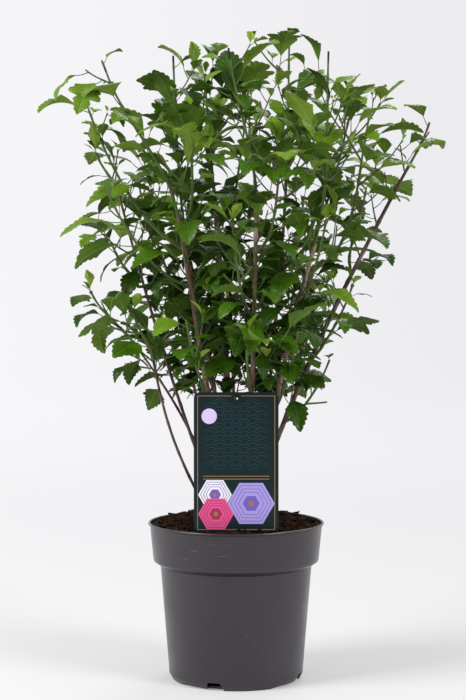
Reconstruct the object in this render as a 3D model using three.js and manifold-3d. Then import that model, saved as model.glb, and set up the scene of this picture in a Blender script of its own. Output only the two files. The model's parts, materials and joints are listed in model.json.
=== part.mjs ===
// A potted hibiscus shrub: a nursery pot with its soil and plain picture label, fourteen woody
// canes that rise from the soil, and on the canes the leafy masses that make the crown.
// Millimetres, +Z up, origin at the middle of the pot's flat underside, label side towards -Y.

import * as THREE from "three";
import { mergeVertices } from "three/addons/utils/BufferGeometryUtils.js";
import Module from "manifold-3d";

const wasm = await Module();
wasm.setup();

// ---------------------------------------------------------------- driving dimensions

const CLEAR = 0.3; // gap between pieces that touch on the real plant

const POT = {
  height: 169,
  rimRadius: 95, // outside, at the top edge
  collarRadius: 89.3, // outside, at the foot of the collar
  collarFoot: 127.9,
  neckRadius: 81.75, // outside, just under the collar
  neckHeight: 122.5,
  footRadius: 72.2, // outside, just above the foot
  footHeight: 5.5,
  baseRadius: 69.3, // outside, where it stands
  wall: 1.8,
  floor: 2.4,
  sides: 44,
};
const DRAIN = {
  count: 4,
  firstAngle: -108.8, // degrees round from +X
  width: 15,
  height: 8.5,
  depth: 9,
  footWidth: 40,
  footRise: 2,
};
const SOIL = {
  crown: 173, // height in the middle
  edge: 166.5, // height at the wall
  plateau: 50, // radius of the level middle
  tilt: 0.025, // rise towards the back
  lump: 1.5,
  shrunk: 0.8, // gap to the wall at the edge
  rings: 3,
};
const LABEL = {
  width: 88,
  height: 146,
  thick: 0.8,
  corner: 7,
  hole: 5,
  holeDrop: 5.5, // from the top edge to the hole's middle
  lean: 1.6, // degrees back from upright
  foot: [0, -74, 167.3], // middle of the card's lower edge
  tailWidth: 15,
  tailDepth: 40,
};

const GROUND = 169; // height of the flat cut under every cane, in its socket in the soil

// Leaf: its outline in shares of the blade's length, along the midrib and out to the side.
const LEAF = {
  lobe: [0.43, 0.4],
  sinus: [0.65, 0.24],
  middle: 0.42,
  fold: 0.17, // how far the halves rise from the midrib, per unit of width
  thick: 0.022, // of the blade's length, at the middle
  petiole: 0.34, // of the blade's length
  petioleRadius: 0.75,
  petioleDepth: 1.5, // of its radius
  petioleTaper: 0.9,
  lean: 0.55, // how far the petiole leans towards the tip of its twig
  lift: 0.12, // and how far upwards
  probes: [[0.75, 0], [0.22, 0.18], [0.22, -0.18]], // further places where it is tested for room
};

// The crown's outline: how far it reaches to the left and to the right at each height.
const CROWN = {
  reach: [
    [262, 84, 98],
    [320, 135, 138],
    [400, 194, 160],
    [500, 192, 190],
    [590, 216, 238],
    [652, 206, 196],
    [684, 150, 140],
    [712, 70, 80],
  ],
  depth: 0.84, // reach to the front and back, of the reach to the sides
  dome: 0.0014, // fall of the whole outline towards front and back, per square of depth
  square: 3, // power of the rounded section seen from above
  labelGap: 8, // nothing hangs nearer to the label than this
};

const SEED = 71; // of the first mass, and one more for each next
const GOLDEN = THREE.MathUtils.degToRad(137.5);
const UP = new THREE.Vector3(0, 0, 1);
const ASIDE = new THREE.Vector3(1, 0.2, 0.1); // where turns round a twig are counted from

// Canes: foot on the soil, tip, outward bow at mid height, radius at the foot and at the tip.
const CANES = {
  cane_left_front: { foot: [-7, -10], tip: [-60, -48, 495], bow: 0, radius: [3.7, 2.5] },
  cane_left_inner: { foot: [-5, 9], tip: [-50, 20, 450], bow: -4, radius: [3.4, 2.2] },
  cane_middle: { foot: [-2, 23], tip: [-24, 24, 521], bow: 0, radius: [2.6, 1.8] },
  cane_middle_back: { foot: [2, 35], tip: [-7, 58, 430], bow: 0, radius: [2.4, 1.7] },
  cane_centre_front: { foot: [12, -12], tip: [21, -58, 506], bow: 5, radius: [3.3, 2.3] },
  cane_right_back: { foot: [20, 23], tip: [53, 68, 487], bow: 4, radius: [2.4, 1.7] },
  cane_right_front: { foot: [22, -1], tip: [83, -42, 468], bow: -7, radius: [3.4, 2.2] },
  cane_right_long: { foot: [11, 10], tip: [176, 16, 533], bow: -9, radius: [3.5, 2.1] },
  cane_left_long: { foot: [-16, 3], tip: [-125, -12, 520], bow: 5, radius: [2.1, 1.4] },
  cane_left_low: { foot: [-19, 15], tip: [-108, 21, 357], bow: -14, radius: [1.9, 1.3] },
  cane_left_outer: { foot: [-25, -5], tip: [-88, -34, 345], bow: 10, radius: [1.9, 1.3] },
  cane_back_left: { foot: [-13, 27], tip: [-72, 75, 420], bow: 0, radius: [2.2, 1.5] },
  cane_back_right: { foot: [15, 35], tip: [70, 95, 440], bow: 0, radius: [2.4, 1.6] },
  cane_back: { foot: [5, 47], tip: [-20, 100, 500], bow: 4, radius: [2.6, 1.7] },
};

// Masses of foliage: the cane that carries each, where on it (1 is its tip), where the leading
// shoot ends, and whether that shoot was cut back, which leaves it bare and blunt at the top.
const MASSES = {
  leaves_left_spire: { cane: "cane_left_front", at: 1, tip: [-140, -50, 658], cut: true },
  leaves_left_high: { cane: "cane_left_front", at: 0.9, tip: [-160, -6, 618] },
  leaves_left_front: { cane: "cane_left_front", at: 0.78, tip: [-132, -84, 520] },
  leaves_left_shoulder: { cane: "cane_left_long", at: 1, tip: [-150, -6, 566] },
  leaves_left_middle: { cane: "cane_left_long", at: 0.74, tip: [-135, 8, 470] },
  leaves_left_low: { cane: "cane_left_low", at: 1, tip: [-160, 34, 418] },
  leaves_left_base: { cane: "cane_left_outer", at: 1, tip: [-108, -52, 396] },
  leaves_inner_spire: { cane: "cane_left_inner", at: 1, tip: [-68, 10, 672], cut: true },
  leaves_crown_left: { cane: "cane_middle", at: 1, tip: [-34, 30, 655] },
  leaves_crown_front: { cane: "cane_left_front", at: 0.97, tip: [-48, -92, 600] },
  leaves_centre_spire: { cane: "cane_centre_front", at: 1, tip: [-8, -44, 672], cut: true },
  leaves_centre_back: { cane: "cane_middle_back", at: 1, tip: [14, 84, 650] },
  leaves_centre_right: { cane: "cane_centre_front", at: 0.86, tip: [46, -92, 570] },
  leaves_tall_spire: { cane: "cane_right_back", at: 1, tip: [59, 52, 700], cut: true },
  leaves_right_spire: { cane: "cane_right_front", at: 1, tip: [98, -20, 672], cut: true },
  leaves_right_front: { cane: "cane_right_front", at: 0.9, tip: [138, -58, 598] },
  leaves_right_high: { cane: "cane_right_back", at: 0.86, tip: [128, 40, 625] },
  leaves_right_tip: { cane: "cane_right_long", at: 1, tip: [212, 22, 606] },
  leaves_right_middle: { cane: "cane_right_long", at: 0.74, tip: [146, 62, 538] },
  leaves_right_low: { cane: "cane_right_long", at: 0.48, tip: [124, -26, 425] },
  leaves_right_base: { cane: "cane_right_long", at: 0.3, tip: [100, -20, 345] },
  leaves_heart_front: { cane: "cane_centre_front", at: 0.66, tip: [-4, -104, 486] },
  leaves_heart_right: { cane: "cane_right_front", at: 0.74, tip: [92, -88, 490] },
  leaves_front_left: { cane: "cane_left_front", at: 0.42, tip: [-52, -92, 392] },
  leaves_front_centre: { cane: "cane_centre_front", at: 0.42, tip: [10, -88, 372] },
  leaves_front_right: { cane: "cane_right_front", at: 0.42, tip: [64, -76, 376] },
  leaves_back_left: { cane: "cane_back_left", at: 1, tip: [-112, 104, 545] },
  leaves_back_low_left: { cane: "cane_back_left", at: 0.55, tip: [-92, 92, 385] },
  leaves_back_spire: { cane: "cane_back", at: 1, tip: [-44, 118, 635], cut: true },
  leaves_back_low: { cane: "cane_back", at: 0.55, tip: [-8, 122, 400] },
  leaves_back_right: { cane: "cane_back_right", at: 1, tip: [112, 112, 575] },
  leaves_back_low_right: { cane: "cane_back_right", at: 0.55, tip: [88, 112, 395] },
};

// How every mass grows.
const GROWTH = {
  leadRadius: [1.5, 0.9], // leading shoot, at its start and its tip
  sideRadius: [1.0, 0.6],
  leadSteps: 5,
  sideSteps: 2,
  firstLeaf: 16, // from the start of a leading shoot
  internode: 28,
  cutBare: 36, // bare length under a cut tip
  seat: 0.72, // distance of a side shoot's foot from its cane's surface, of its radius
  leadLean: 0.6, // how far a leading shoot leans along the cane that it leaves
  bend: 0.32, // reach of a shoot's start and end directions, of its length
  rise: 0.7, // how far a shoot's tip turns up
  sideCount: 3,
  sideRange: [0.24, 0.8], // where side twigs leave the leading shoot
  sideLength: [42, 78],
  sideLean: 0.8,
  sideLift: 0.2,
  sideFirstLeaf: 14,
  sideInternode: 23,
  bladeLead: 78, // blade length low on a leading shoot
  bladeSide: 70,
  bladeTip: 52,
  spread: [0.86, 1.14], // of a blade's length
  droop: [0.8, 1.4], // radians that a blade bends through
  roll: [-0.45, 0.45], // radians that a blade is turned about its midrib
  // Where a leaf or twig doesn't fit, it is turned by these angles and cut to these sizes in turn.
  tries: [0, 0.5, -0.5, 1.1, -1.1, 1.8, -1.8, 2.6, -2.6],
  shrink: [1, 1, 1, 0.9, 0.9, 0.8, 0.8, 0.68, 0.68],
  cellMargin: 2,
  limbMargin: 4.5, // from a blade to a cane
  twigMargin: 2.2, // from a twig or petiole to a cane
  leafSpacing: 20, // between the middles of two blades of one mass
};

// ---------------------------------------------------------------- materials

const finish = (color, roughness) => new THREE.MeshStandardMaterial({ color, roughness, metalness: 0 });
const POT_PLASTIC = finish(0x4f4b4d, 0.5);
const POTTING_SOIL = finish(0x33221a, 0.95);
const LABEL_CARD = finish(0x1d3238, 0.4);
const BARK = finish(0x6f5a4c, 0.85);
const LEAF_GREEN = finish(0x3f7a24, 0.5);

// ---------------------------------------------------------------- small tools

/** A repeatable source of numbers from 0 to 1. */
class Draw {
  constructor(seed) {
    this.state = seed * 7919 + 104729;
    for (let i = 0; i < 3; i += 1) this.next();
  }
  next() {
    this.state = (this.state * 1664525 + 1013904223) % 4294967296;
    return this.state / 4294967296;
  }
  between([low, high]) {
    return low + (high - low) * this.next();
  }
}

const vector = ([x, y, z]) => new THREE.Vector3(x, y, z);
const mix = (a, b, t) => a + (b - a) * t;

/** The solid that a closed geometry bounds, for a join or a cut. */
function toSolid(geometry) {
  const bare = geometry.clone();
  bare.deleteAttribute("normal");
  bare.deleteAttribute("uv");
  const merged = mergeVertices(bare, 1e-4);
  const mesh = new wasm.Mesh({
    numProp: 3,
    vertProperties: new Float32Array(merged.attributes.position.array),
    triVerts: new Uint32Array(merged.index.array),
  });
  return new wasm.Manifold(mesh);
}

/** The geometry of a solid's largest piece: loose scraps are dropped. */
function toGeometry(solid) {
  const pieces = solid.decompose().sort((a, b) => b.volume() - a.volume());
  const mesh = pieces[0].getMesh();
  const geometry = new THREE.BufferGeometry();
  geometry.setAttribute("position", new THREE.BufferAttribute(new Float32Array(mesh.vertProperties), 3));
  geometry.setIndex(new THREE.BufferAttribute(new Uint32Array(mesh.triVerts), 1));
  geometry.computeVertexNormals();
  return geometry;
}

/** A geometry from corner points and triangles. */
function fromFaces(points, faces) {
  const geometry = new THREE.BufferGeometry();
  geometry.setAttribute("position", new THREE.Float32BufferAttribute(points.flatMap((p) => p.toArray()), 3));
  geometry.setIndex(faces.flat());
  return geometry;
}

/** Two directions square to a tangent, the first as near as can be to a given side. */
function carryFrame(tangent, side) {
  const across = side.clone().addScaledVector(tangent, -side.dot(tangent)).normalize();
  return [across, new THREE.Vector3().crossVectors(tangent, across)];
}

/** A closed tapering limb: one ring of corners at each point, and a flat cut at both ends. */
function limb(points, radii, sides) {
  const corners = [];
  const faces = [];
  let side = new THREE.Vector3(1, 0.3, 0.1);
  points.forEach((point, i) => {
    const before = points[Math.max(i - 1, 0)];
    const after = points[Math.min(i + 1, points.length - 1)];
    const tangent = after.clone().sub(before).normalize();
    const [across, over] = carryFrame(tangent, side);
    side = across;
    for (let k = 0; k < sides; k += 1) {
      const angle = (2 * Math.PI * k) / sides;
      corners.push(
        point
          .clone()
          .addScaledVector(across, radii[i] * Math.cos(angle))
          .addScaledVector(over, radii[i] * Math.sin(angle)),
      );
    }
  });
  for (let i = 0; i + 1 < points.length; i += 1) {
    for (let k = 0; k < sides; k += 1) {
      const a = i * sides + k;
      const b = i * sides + ((k + 1) % sides);
      faces.push([a, b, b + sides], [a, b + sides, a + sides]);
    }
  }
  const last = (points.length - 1) * sides;
  for (let k = 1; k + 1 < sides; k += 1) {
    faces.push([0, k + 1, k], [last, last + k, last + k + 1]);
  }
  return fromFaces(corners, faces);
}

/** The mesh of a sub-part, with its geometry taken back to the place where the mesh is put. */
function placed(name, geometry, place, material) {
  geometry.translate(-place.x, -place.y, -place.z);
  const mesh = new THREE.Mesh(geometry, material);
  mesh.name = name;
  mesh.position.copy(place);
  return mesh;
}

/** The place and direction of a path of even steps at a share of its length. */
function onPath(path, share) {
  const steps = path.length - 1;
  const i = Math.min(Math.floor(share * steps), steps - 1);
  const tangent = path[i + 1].clone().sub(path[i]).normalize();
  return { point: path[i].clone().lerp(path[i + 1], share * steps - i), tangent };
}

/** The direction square to a tangent at a turn round it. */
function sideways(tangent, turn) {
  const [across, over] = carryFrame(tangent, ASIDE);
  return across.multiplyScalar(Math.cos(turn)).addScaledVector(over, Math.sin(turn));
}

// ---------------------------------------------------------------- pot, soil and label

/** The pot's outside from its foot up, as [radius, height]. */
function potOutside() {
  return [
    [POT.baseRadius, 0],
    [POT.footRadius, POT.footHeight],
    [POT.neckRadius, POT.neckHeight],
    [POT.collarRadius, POT.collarFoot],
    [POT.rimRadius, POT.height],
  ];
}

/** The pot's inside from the floor up, a given gap in from its wall. */
function potInside(gap) {
  const inset = POT.wall + gap;
  return [
    [POT.footRadius - inset - 1, POT.floor + gap],
    [POT.neckRadius - inset, POT.neckHeight + POT.wall + gap],
    [POT.collarRadius - inset, POT.collarFoot + POT.wall + 2 * gap],
    [POT.rimRadius - inset, POT.height],
  ];
}

/** Turns a lathe's own axis up to +Z. */
function turned(profile, sides) {
  const points = profile.map(([r, z]) => new THREE.Vector2(r, z));
  return new THREE.LatheGeometry(points, sides).rotateX(Math.PI / 2);
}

/** One drain: a mouth through the wall, and the shallow arch that lifts the foot around it. */
function drain(angle) {
  const mouth = new THREE.Shape([
    new THREE.Vector2(-DRAIN.width * 0.62, -1),
    new THREE.Vector2(DRAIN.width * 0.62, -1),
    new THREE.Vector2(DRAIN.width * 0.5, DRAIN.height),
    new THREE.Vector2(-DRAIN.width * 0.5, DRAIN.height),
  ]);
  const arch = new THREE.Shape([
    new THREE.Vector2(-DRAIN.footWidth * 0.5, -1),
    new THREE.Vector2(DRAIN.footWidth * 0.5, -1),
    new THREE.Vector2(DRAIN.footWidth * 0.42, DRAIN.footRise),
    new THREE.Vector2(-DRAIN.footWidth * 0.42, DRAIN.footRise),
  ]);
  const cut = (shape, depth) =>
    toSolid(
      new THREE.ExtrudeGeometry(shape, { depth: depth + 20, bevelEnabled: false })
        .translate(0, 0, POT.baseRadius - depth)
        .rotateX(Math.PI / 2)
        .rotateZ(angle + Math.PI / 2),
    );
  return cut(mouth, DRAIN.depth).add(cut(arch, DRAIN.depth * 0.6));
}

function makePot() {
  const outside = potOutside();
  const inside = potInside(0).reverse();
  const profile = [[0, 0], ...outside, ...inside, [0, POT.floor]];
  let pot = toSolid(turned(profile, POT.sides));
  for (let i = 0; i < DRAIN.count; i += 1) {
    const angle = THREE.MathUtils.degToRad(DRAIN.firstAngle + (360 / DRAIN.count) * i);
    pot = pot.subtract(drain(angle));
  }
  return placed("pot", toGeometry(pot), new THREE.Vector3(), POT_PLASTIC);
}

/** Height of the soil: level in the middle, lower at the wall, higher at the back, lumpy. */
function soilHeight(x, y) {
  const reach = POT.rimRadius - POT.wall - CLEAR;
  const out = Math.max(0, Math.hypot(x, y) - SOIL.plateau) / (reach - SOIL.plateau);
  const waves = Math.sin(x * 0.19 + 1.1) * Math.sin(y * 0.23 + 0.4) + 0.6 * Math.sin(x * 0.31 - y * 0.27);
  return mix(SOIL.crown, SOIL.edge, out * out) + SOIL.tilt * y + SOIL.lump * waves * (1 - out);
}

/** The soil: it fills the pot, with a socket for each cane and a slot for the label. */
function makeSoil() {
  const wall = potInside(CLEAR);
  const topRadius = wall[3][0] - SOIL.shrunk;
  const profile = [[0, wall[0][1]], ...wall.slice(0, 3), [topRadius, SOIL.edge]];
  for (let ring = SOIL.rings; ring >= 0; ring -= 1) {
    profile.push([(topRadius * ring) / (SOIL.rings + 1), SOIL.crown]);
  }
  const body = turned(profile, POT.sides / 2);
  const at = body.attributes.position;
  for (let i = 0; i < at.count; i += 1) {
    if (at.getZ(i) >= SOIL.edge) at.setZ(i, soilHeight(at.getX(i), at.getY(i)));
  }
  let soil = toSolid(body);
  Object.values(CANES).forEach((cane) => {
    soil = soil.subtract(toSolid(caneBody(cane, CLEAR)));
  });
  soil = soil.subtract(toSolid(stoodUp(cardOutline(CLEAR), LABEL.thick + 2 * CLEAR)));
  return placed("soil", toGeometry(soil), new THREE.Vector3(), POTTING_SOIL);
}

/** The label's outline with its tail, widened by a gap on every side. */
function cardOutline(gap) {
  const half = LABEL.width / 2 + gap;
  const tail = LABEL.tailWidth / 2 + gap;
  const top = LABEL.height + gap;
  const { corner, tailDepth } = LABEL;
  const card = new THREE.Shape();
  card.moveTo(-half, -gap);
  card.lineTo(-tail, -gap);
  card.lineTo(-tail, -tailDepth * 0.6);
  card.lineTo(0, -tailDepth - 1.5 * gap);
  card.lineTo(tail, -tailDepth * 0.6);
  card.lineTo(tail, -gap);
  card.lineTo(half, -gap);
  card.absarc(half - corner, top - corner, corner, 0, Math.PI / 2, false);
  card.absarc(-half + corner, top - corner, corner, Math.PI / 2, Math.PI, false);
  return card;
}

/** A flat outline made a card of some thickness, stood in the soil at the label's place. */
function stoodUp(outline, thickness) {
  const options = { depth: thickness, bevelEnabled: false, curveSegments: 6 };
  return new THREE.ExtrudeGeometry(outline, options)
    .translate(0, 0, -thickness / 2)
    .rotateX(Math.PI / 2 - THREE.MathUtils.degToRad(LABEL.lean))
    .translate(...LABEL.foot);
}

/** The picture label: a rounded card with a hanging hole, on a tail that stands in the soil. */
function makeLabel() {
  const card = cardOutline(0);
  const hole = new THREE.Path();
  hole.absarc(0, LABEL.height - LABEL.holeDrop, LABEL.hole / 2, 0, 2 * Math.PI, true);
  card.holes.push(hole);
  return placed("label", stoodUp(card, LABEL.thick), vector(LABEL.foot), LABEL_CARD);
}

// ---------------------------------------------------------------- canes

const CANE_STEPS = 6;
const CANE_SIDES = 6;
const FOOT_FLARE = 0.35;

/** Points along a cane, from its flat cut on the soil to its tip. */
function canePath({ foot, tip, bow }) {
  const start = new THREE.Vector3(foot[0], foot[1], GROUND);
  const end = vector(tip);
  const outward = new THREE.Vector3(end.x - start.x, end.y - start.y, 0).normalize();
  return Array.from({ length: CANE_STEPS + 1 }, (_, i) => {
    const t = i / CANE_STEPS;
    return start.clone().lerp(end, t).addScaledVector(outward, bow * Math.sin(Math.PI * t));
  });
}

/** A cane's radius at a share of its length: it flares at the foot and tapers to the tip. */
function caneRadius({ radius }, t) {
  const flare = 1 + FOOT_FLARE * Math.max(0, 1 - t * CANE_STEPS);
  return mix(radius[0], radius[1], t) * flare;
}

/** A cane's limb, widened by a gap, with its flat cut laid level on the ground. */
function caneBody(cane, gap) {
  const path = canePath(cane);
  const widen = gap / Math.cos(Math.PI / CANE_SIDES);
  const radii = path.map((_, i) => caneRadius(cane, i / CANE_STEPS) + widen);
  const body = limb(path, radii, CANE_SIDES);
  for (let k = 0; k < CANE_SIDES; k += 1) body.attributes.position.setZ(k, GROUND - gap);
  return body;
}

function makeCane(name, cane) {
  return placed(name, caneBody(cane, 0), canePath(cane)[0], BARK);
}

// ---------------------------------------------------------------- how a mass grows

/** A shoot's path: it leaves along lead, bends, and ends at tip, rising. */
function shootPath(start, lead, tip, steps) {
  const chord = tip.clone().sub(start);
  const reach = chord.length() * GROWTH.bend;
  const rise = chord.clone().normalize().addScaledVector(UP, GROWTH.rise).normalize();
  const curve = new THREE.CubicBezierCurve3(
    start,
    start.clone().addScaledVector(lead, reach),
    tip.clone().addScaledVector(rise, -reach),
    tip,
  );
  return curve.getPoints(steps);
}

/** The start and path of a mass's leading shoot, clear of the cane that carries it. */
function leadPath({ cane, at, tip }) {
  const spec = CANES[cane];
  const { point, tangent } = onPath(canePath(spec), at);
  const end = vector(tip);
  const start = point.clone();
  const lead = tangent.clone();
  if (at === 1) {
    start.addScaledVector(tangent, CLEAR);
  } else {
    const away = end.clone().sub(point);
    away.addScaledVector(tangent, -away.dot(tangent)).normalize();
    lead.copy(away).addScaledVector(tangent, GROWTH.leadLean).normalize();
    start.addScaledVector(away, caneRadius(spec, at) + CLEAR + GROWTH.leadRadius[0] * GROWTH.seat);
  }
  return shootPath(start, lead, end, GROWTH.leadSteps);
}

/** Distance from a point to a path of straight steps. */
function distanceTo(point, path) {
  let nearest = Infinity;
  const line = new THREE.Line3();
  const foot = new THREE.Vector3();
  for (let i = 0; i + 1 < path.length; i += 1) {
    line.set(path[i], path[i + 1]).closestPointToPoint(point, true, foot);
    nearest = Math.min(nearest, foot.distanceTo(point));
  }
  return nearest;
}

const canePaths = Object.values(CANES).map((cane) => ({ path: canePath(cane), radius: cane.radius }));
const leadPaths = Object.fromEntries(Object.entries(MASSES).map(([name, mass]) => [name, leadPath(mass)]));

/** True if a point lies inside the crown's outline. */
function insideCrown({ x, y, z }) {
  const height = z + CROWN.dome * y * y;
  const above = CROWN.reach.findIndex(([level]) => level > height);
  const [, labelY, labelFoot] = LABEL.foot;
  const nearLabel = y < labelY + CROWN.labelGap && z < labelFoot + LABEL.height + CROWN.labelGap;
  if (above < 1 || nearLabel) return false;
  const [low, high] = [CROWN.reach[above - 1], CROWN.reach[above]];
  const t = (height - low[0]) / (high[0] - low[0]);
  const left = mix(low[1], high[1], t);
  const right = mix(low[2], high[2], t);
  const across = Math.abs(x) / (x < 0 ? left : right);
  const along = Math.abs(y) / (CROWN.depth * 0.5 * (left + right));
  return across ** CROWN.square + along ** CROWN.square < 1;
}

/** True if every point is in the crown and nearer to this mass's leading shoot than to others. */
function keepsToSpace(points, name) {
  return points.every((point) => {
    if (!insideCrown(point)) return false;
    const own = distanceTo(point, leadPaths[name]) + GROWTH.cellMargin;
    const others = Object.keys(leadPaths).filter((other) => other !== name);
    return others.every((other) => distanceTo(point, leadPaths[other]) > own);
  });
}

/** True if every point stays a margin away from all canes. */
function clearsCanes(points, margin) {
  return points.every((point) =>
    canePaths.every(({ path, radius }) => distanceTo(point, path) > radius[0] + margin),
  );
}

/** The direction square to a blade at a share along its midrib. */
function bladeNormal(leaf, along) {
  const bend = leaf.droop * along;
  return leaf.over.clone().multiplyScalar(Math.cos(bend)).addScaledVector(leaf.forward, Math.sin(bend));
}

/** A point of a blade, by its shares along the midrib and out to the side. */
function bladePoint(leaf, along, out) {
  const bend = leaf.droop * along;
  const scale = leaf.length / leaf.droop;
  return leaf.base
    .clone()
    .addScaledVector(leaf.forward, scale * Math.sin(bend))
    .addScaledVector(leaf.over, scale * (Math.cos(bend) - 1))
    .addScaledVector(leaf.across, out * leaf.length)
    .addScaledVector(bladeNormal(leaf, along), Math.abs(out) * leaf.length * LEAF.fold);
}

/** A leaf on a twig: its petiole leaves the twig's middle, and its blade arches over. */
function growLeaf(root, tangent, turn, length, droop, roll) {
  const forward = sideways(tangent, turn);
  forward.addScaledVector(tangent, LEAF.lean).addScaledVector(UP, LEAF.lift).normalize();
  const right = new THREE.Vector3().crossVectors(forward, UP).normalize();
  const top = new THREE.Vector3().crossVectors(right, forward);
  const rolled = right.clone().multiplyScalar(Math.cos(roll)).addScaledVector(top, Math.sin(roll));
  const leaf = {
    root,
    length,
    droop,
    forward,
    across: rolled,
    over: new THREE.Vector3().crossVectors(rolled, forward),
    base: root.clone().addScaledVector(forward, length * LEAF.petiole),
  };
  return { ...leaf, middle: bladePoint(leaf, LEAF.middle, 0) };
}

/** The blade's corners from the right of its base round the tip to the left, without the base. */
function bladeCorners(leaf) {
  const [lobe, sinus] = [LEAF.lobe, LEAF.sinus];
  const outline = [lobe, sinus, [1, 0], [sinus[0], -sinus[1]], [lobe[0], -lobe[1]]];
  return outline.map(([along, out]) => bladePoint(leaf, along, out));
}

/** One closed solid: a three-sided petiole that opens into a thin blade. */
function leafGeometry(leaf) {
  const ring = (place, radius) => [
    place.clone().addScaledVector(leaf.across, -radius),
    place.clone().addScaledVector(leaf.across, radius),
    place.clone().addScaledVector(leaf.over, -LEAF.petioleDepth * radius),
  ];
  const middle = bladePoint(leaf, LEAF.middle, 0);
  const half = (leaf.length * LEAF.thick) / 2;
  const normal = bladeNormal(leaf, LEAF.middle);
  const points = [
    ...ring(leaf.root, LEAF.petioleRadius),
    ...ring(leaf.base, LEAF.petioleRadius * LEAF.petioleTaper),
    ...bladeCorners(leaf),
    middle.clone().addScaledVector(normal, half),
    middle.clone().addScaledVector(normal, -half),
  ];
  const [rootL, rootR, rootD, left, right, under] = [0, 1, 2, 3, 4, 5];
  const [upper, lower] = [points.length - 2, points.length - 1];
  const edge = [right, 6, 7, 8, 9, 10, left];
  const faces = [
    [rootL, rootR, right], [rootL, right, left],
    [rootR, rootD, under], [rootR, under, right],
    [rootD, rootL, left], [rootD, left, under],
    [rootL, rootD, rootR],
    [upper, left, right], [lower, right, under], [lower, under, left],
  ];
  for (let i = 0; i + 1 < edge.length; i += 1) {
    faces.push([upper, edge[i], edge[i + 1]], [lower, edge[i + 1], edge[i]]);
  }
  return fromFaces(points, faces);
}

/** True if a leaf has room: clear of canes and of the mass's other leaves, in the mass's space. */
function hasRoom(leaf, leaves, name) {
  const blade = [...bladeCorners(leaf), leaf.middle];
  LEAF.probes.forEach(([along, out]) => blade.push(bladePoint(leaf, along, out)));
  const stalk = [leaf.base, leaf.root.clone().lerp(leaf.base, 0.5)];
  return (
    leaves.every((other) => other.middle.distanceTo(leaf.middle) > GROWTH.leafSpacing) &&
    clearsCanes(stalk, GROWTH.twigMargin) &&
    clearsCanes(blade, GROWTH.limbMargin) &&
    keepsToSpace([...blade, ...stalk], name)
  );
}

/** Sets leaves along a twig, one at each node, turning by the golden angle. */
function dressTwig(name, draw, twig, leaves) {
  const { path, first, bare, gap, sizes } = twig;
  const length = path.reduce((sum, p, i) => (i ? sum + p.distanceTo(path[i - 1]) : 0), 0);
  let turn = draw.between([0, 2 * Math.PI]);
  for (let along = first; along < length - bare; along += gap) {
    turn += GOLDEN;
    const { point, tangent } = onPath(path, along / length);
    const size = mix(sizes[0], sizes[1], along / length) * draw.between(GROWTH.spread);
    const droop = draw.between(GROWTH.droop);
    const roll = draw.between(GROWTH.roll);
    const tries = GROWTH.tries.map((more, k) =>
      growLeaf(point, tangent, turn + more, size * GROWTH.shrink[k], droop, roll),
    );
    const leaf = tries.find((candidate) => hasRoom(candidate, leaves, name));
    if (leaf) leaves.push(leaf);
  }
}

/** A side twig of a leading shoot, or undefined where none fits in the mass's space. */
function sideTwig(name, draw, path, turn) {
  const { point, tangent } = onPath(path, draw.between(GROWTH.sideRange));
  const length = draw.between(GROWTH.sideLength);
  const tries = GROWTH.tries.map((more, k) => {
    const lead = sideways(tangent, turn + more).addScaledVector(tangent, GROWTH.sideLean).normalize();
    const reach = length * GROWTH.shrink[k];
    const tip = point.clone().addScaledVector(lead, reach).addScaledVector(UP, reach * GROWTH.sideLift);
    return shootPath(point, lead, tip, GROWTH.sideSteps);
  });
  return tries.find((twig) => {
    const outer = twig.slice(1);
    return clearsCanes(outer, GROWTH.twigMargin) && keepsToSpace(outer, name);
  });
}

/** Every twig and leaf of one mass, by the seeded rule. */
function growMass(name, mass, seed) {
  const draw = new Draw(seed);
  const lead = leadPaths[name];
  const twigs = [{ path: lead, radius: GROWTH.leadRadius, sides: 4 }];
  const leaves = [];
  dressTwig(name, draw, {
    path: lead,
    first: GROWTH.firstLeaf,
    bare: mass.cut ? GROWTH.cutBare : 0,
    gap: GROWTH.internode,
    sizes: [GROWTH.bladeLead, mass.cut ? GROWTH.bladeSide : GROWTH.bladeTip],
  }, leaves);
  let turn = draw.between([0, 2 * Math.PI]);
  for (let k = 0; k < GROWTH.sideCount; k += 1) {
    turn += GOLDEN;
    const path = sideTwig(name, draw, lead, turn);
    const before = leaves.length;
    if (path) {
      dressTwig(name, draw, {
        path,
        first: GROWTH.sideFirstLeaf,
        bare: 0,
        gap: GROWTH.sideInternode,
        sizes: [GROWTH.bladeSide, GROWTH.bladeTip],
      }, leaves);
    }
    if (leaves.length > before) twigs.push({ path, radius: GROWTH.sideRadius, sides: 3 });
  }
  return { twigs, leaves };
}

/** The mass as one solid: its twigs and leaves, fused. */
function makeMass(name, mass, seed) {
  const { twigs, leaves } = growMass(name, mass, seed);
  const solids = twigs.map(({ path, radius, sides }) => {
    const radii = path.map((_, i) => mix(radius[0], radius[1], i / (path.length - 1)));
    return toSolid(limb(path, radii, sides));
  });
  leaves.forEach((leaf) => solids.push(toSolid(leafGeometry(leaf))));
  const fused = solids.reduce((sum, solid) => sum.add(solid));
  return placed(name, toGeometry(fused), leadPaths[name][0].clone(), LEAF_GREEN);
}

// ---------------------------------------------------------------- the plant

const shrub = new THREE.Group();
shrub.add(makePot(), makeSoil(), makeLabel());
Object.entries(CANES).forEach(([name, cane]) => shrub.add(makeCane(name, cane)));
Object.entries(MASSES).forEach(([name, mass], i) => shrub.add(makeMass(name, mass, SEED + i)));

export default shrub;
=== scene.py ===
"""Dresses the potted hibiscus shrub: pot, soil, picture card, woody canes, green shoots and leaves.

Everything is built in metres, +Z up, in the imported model's own frame. The plant is grown in
millimetres by the same seeded rule as its solids, and is then carried on to finer twigs, smaller
leaves and young tips inside the same crown.
"""

import json
import logging
import math
from collections.abc import Iterable, Sequence
from dataclasses import dataclass, field
from enum import Enum
from functools import cache, cached_property
from typing import ClassVar

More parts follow.
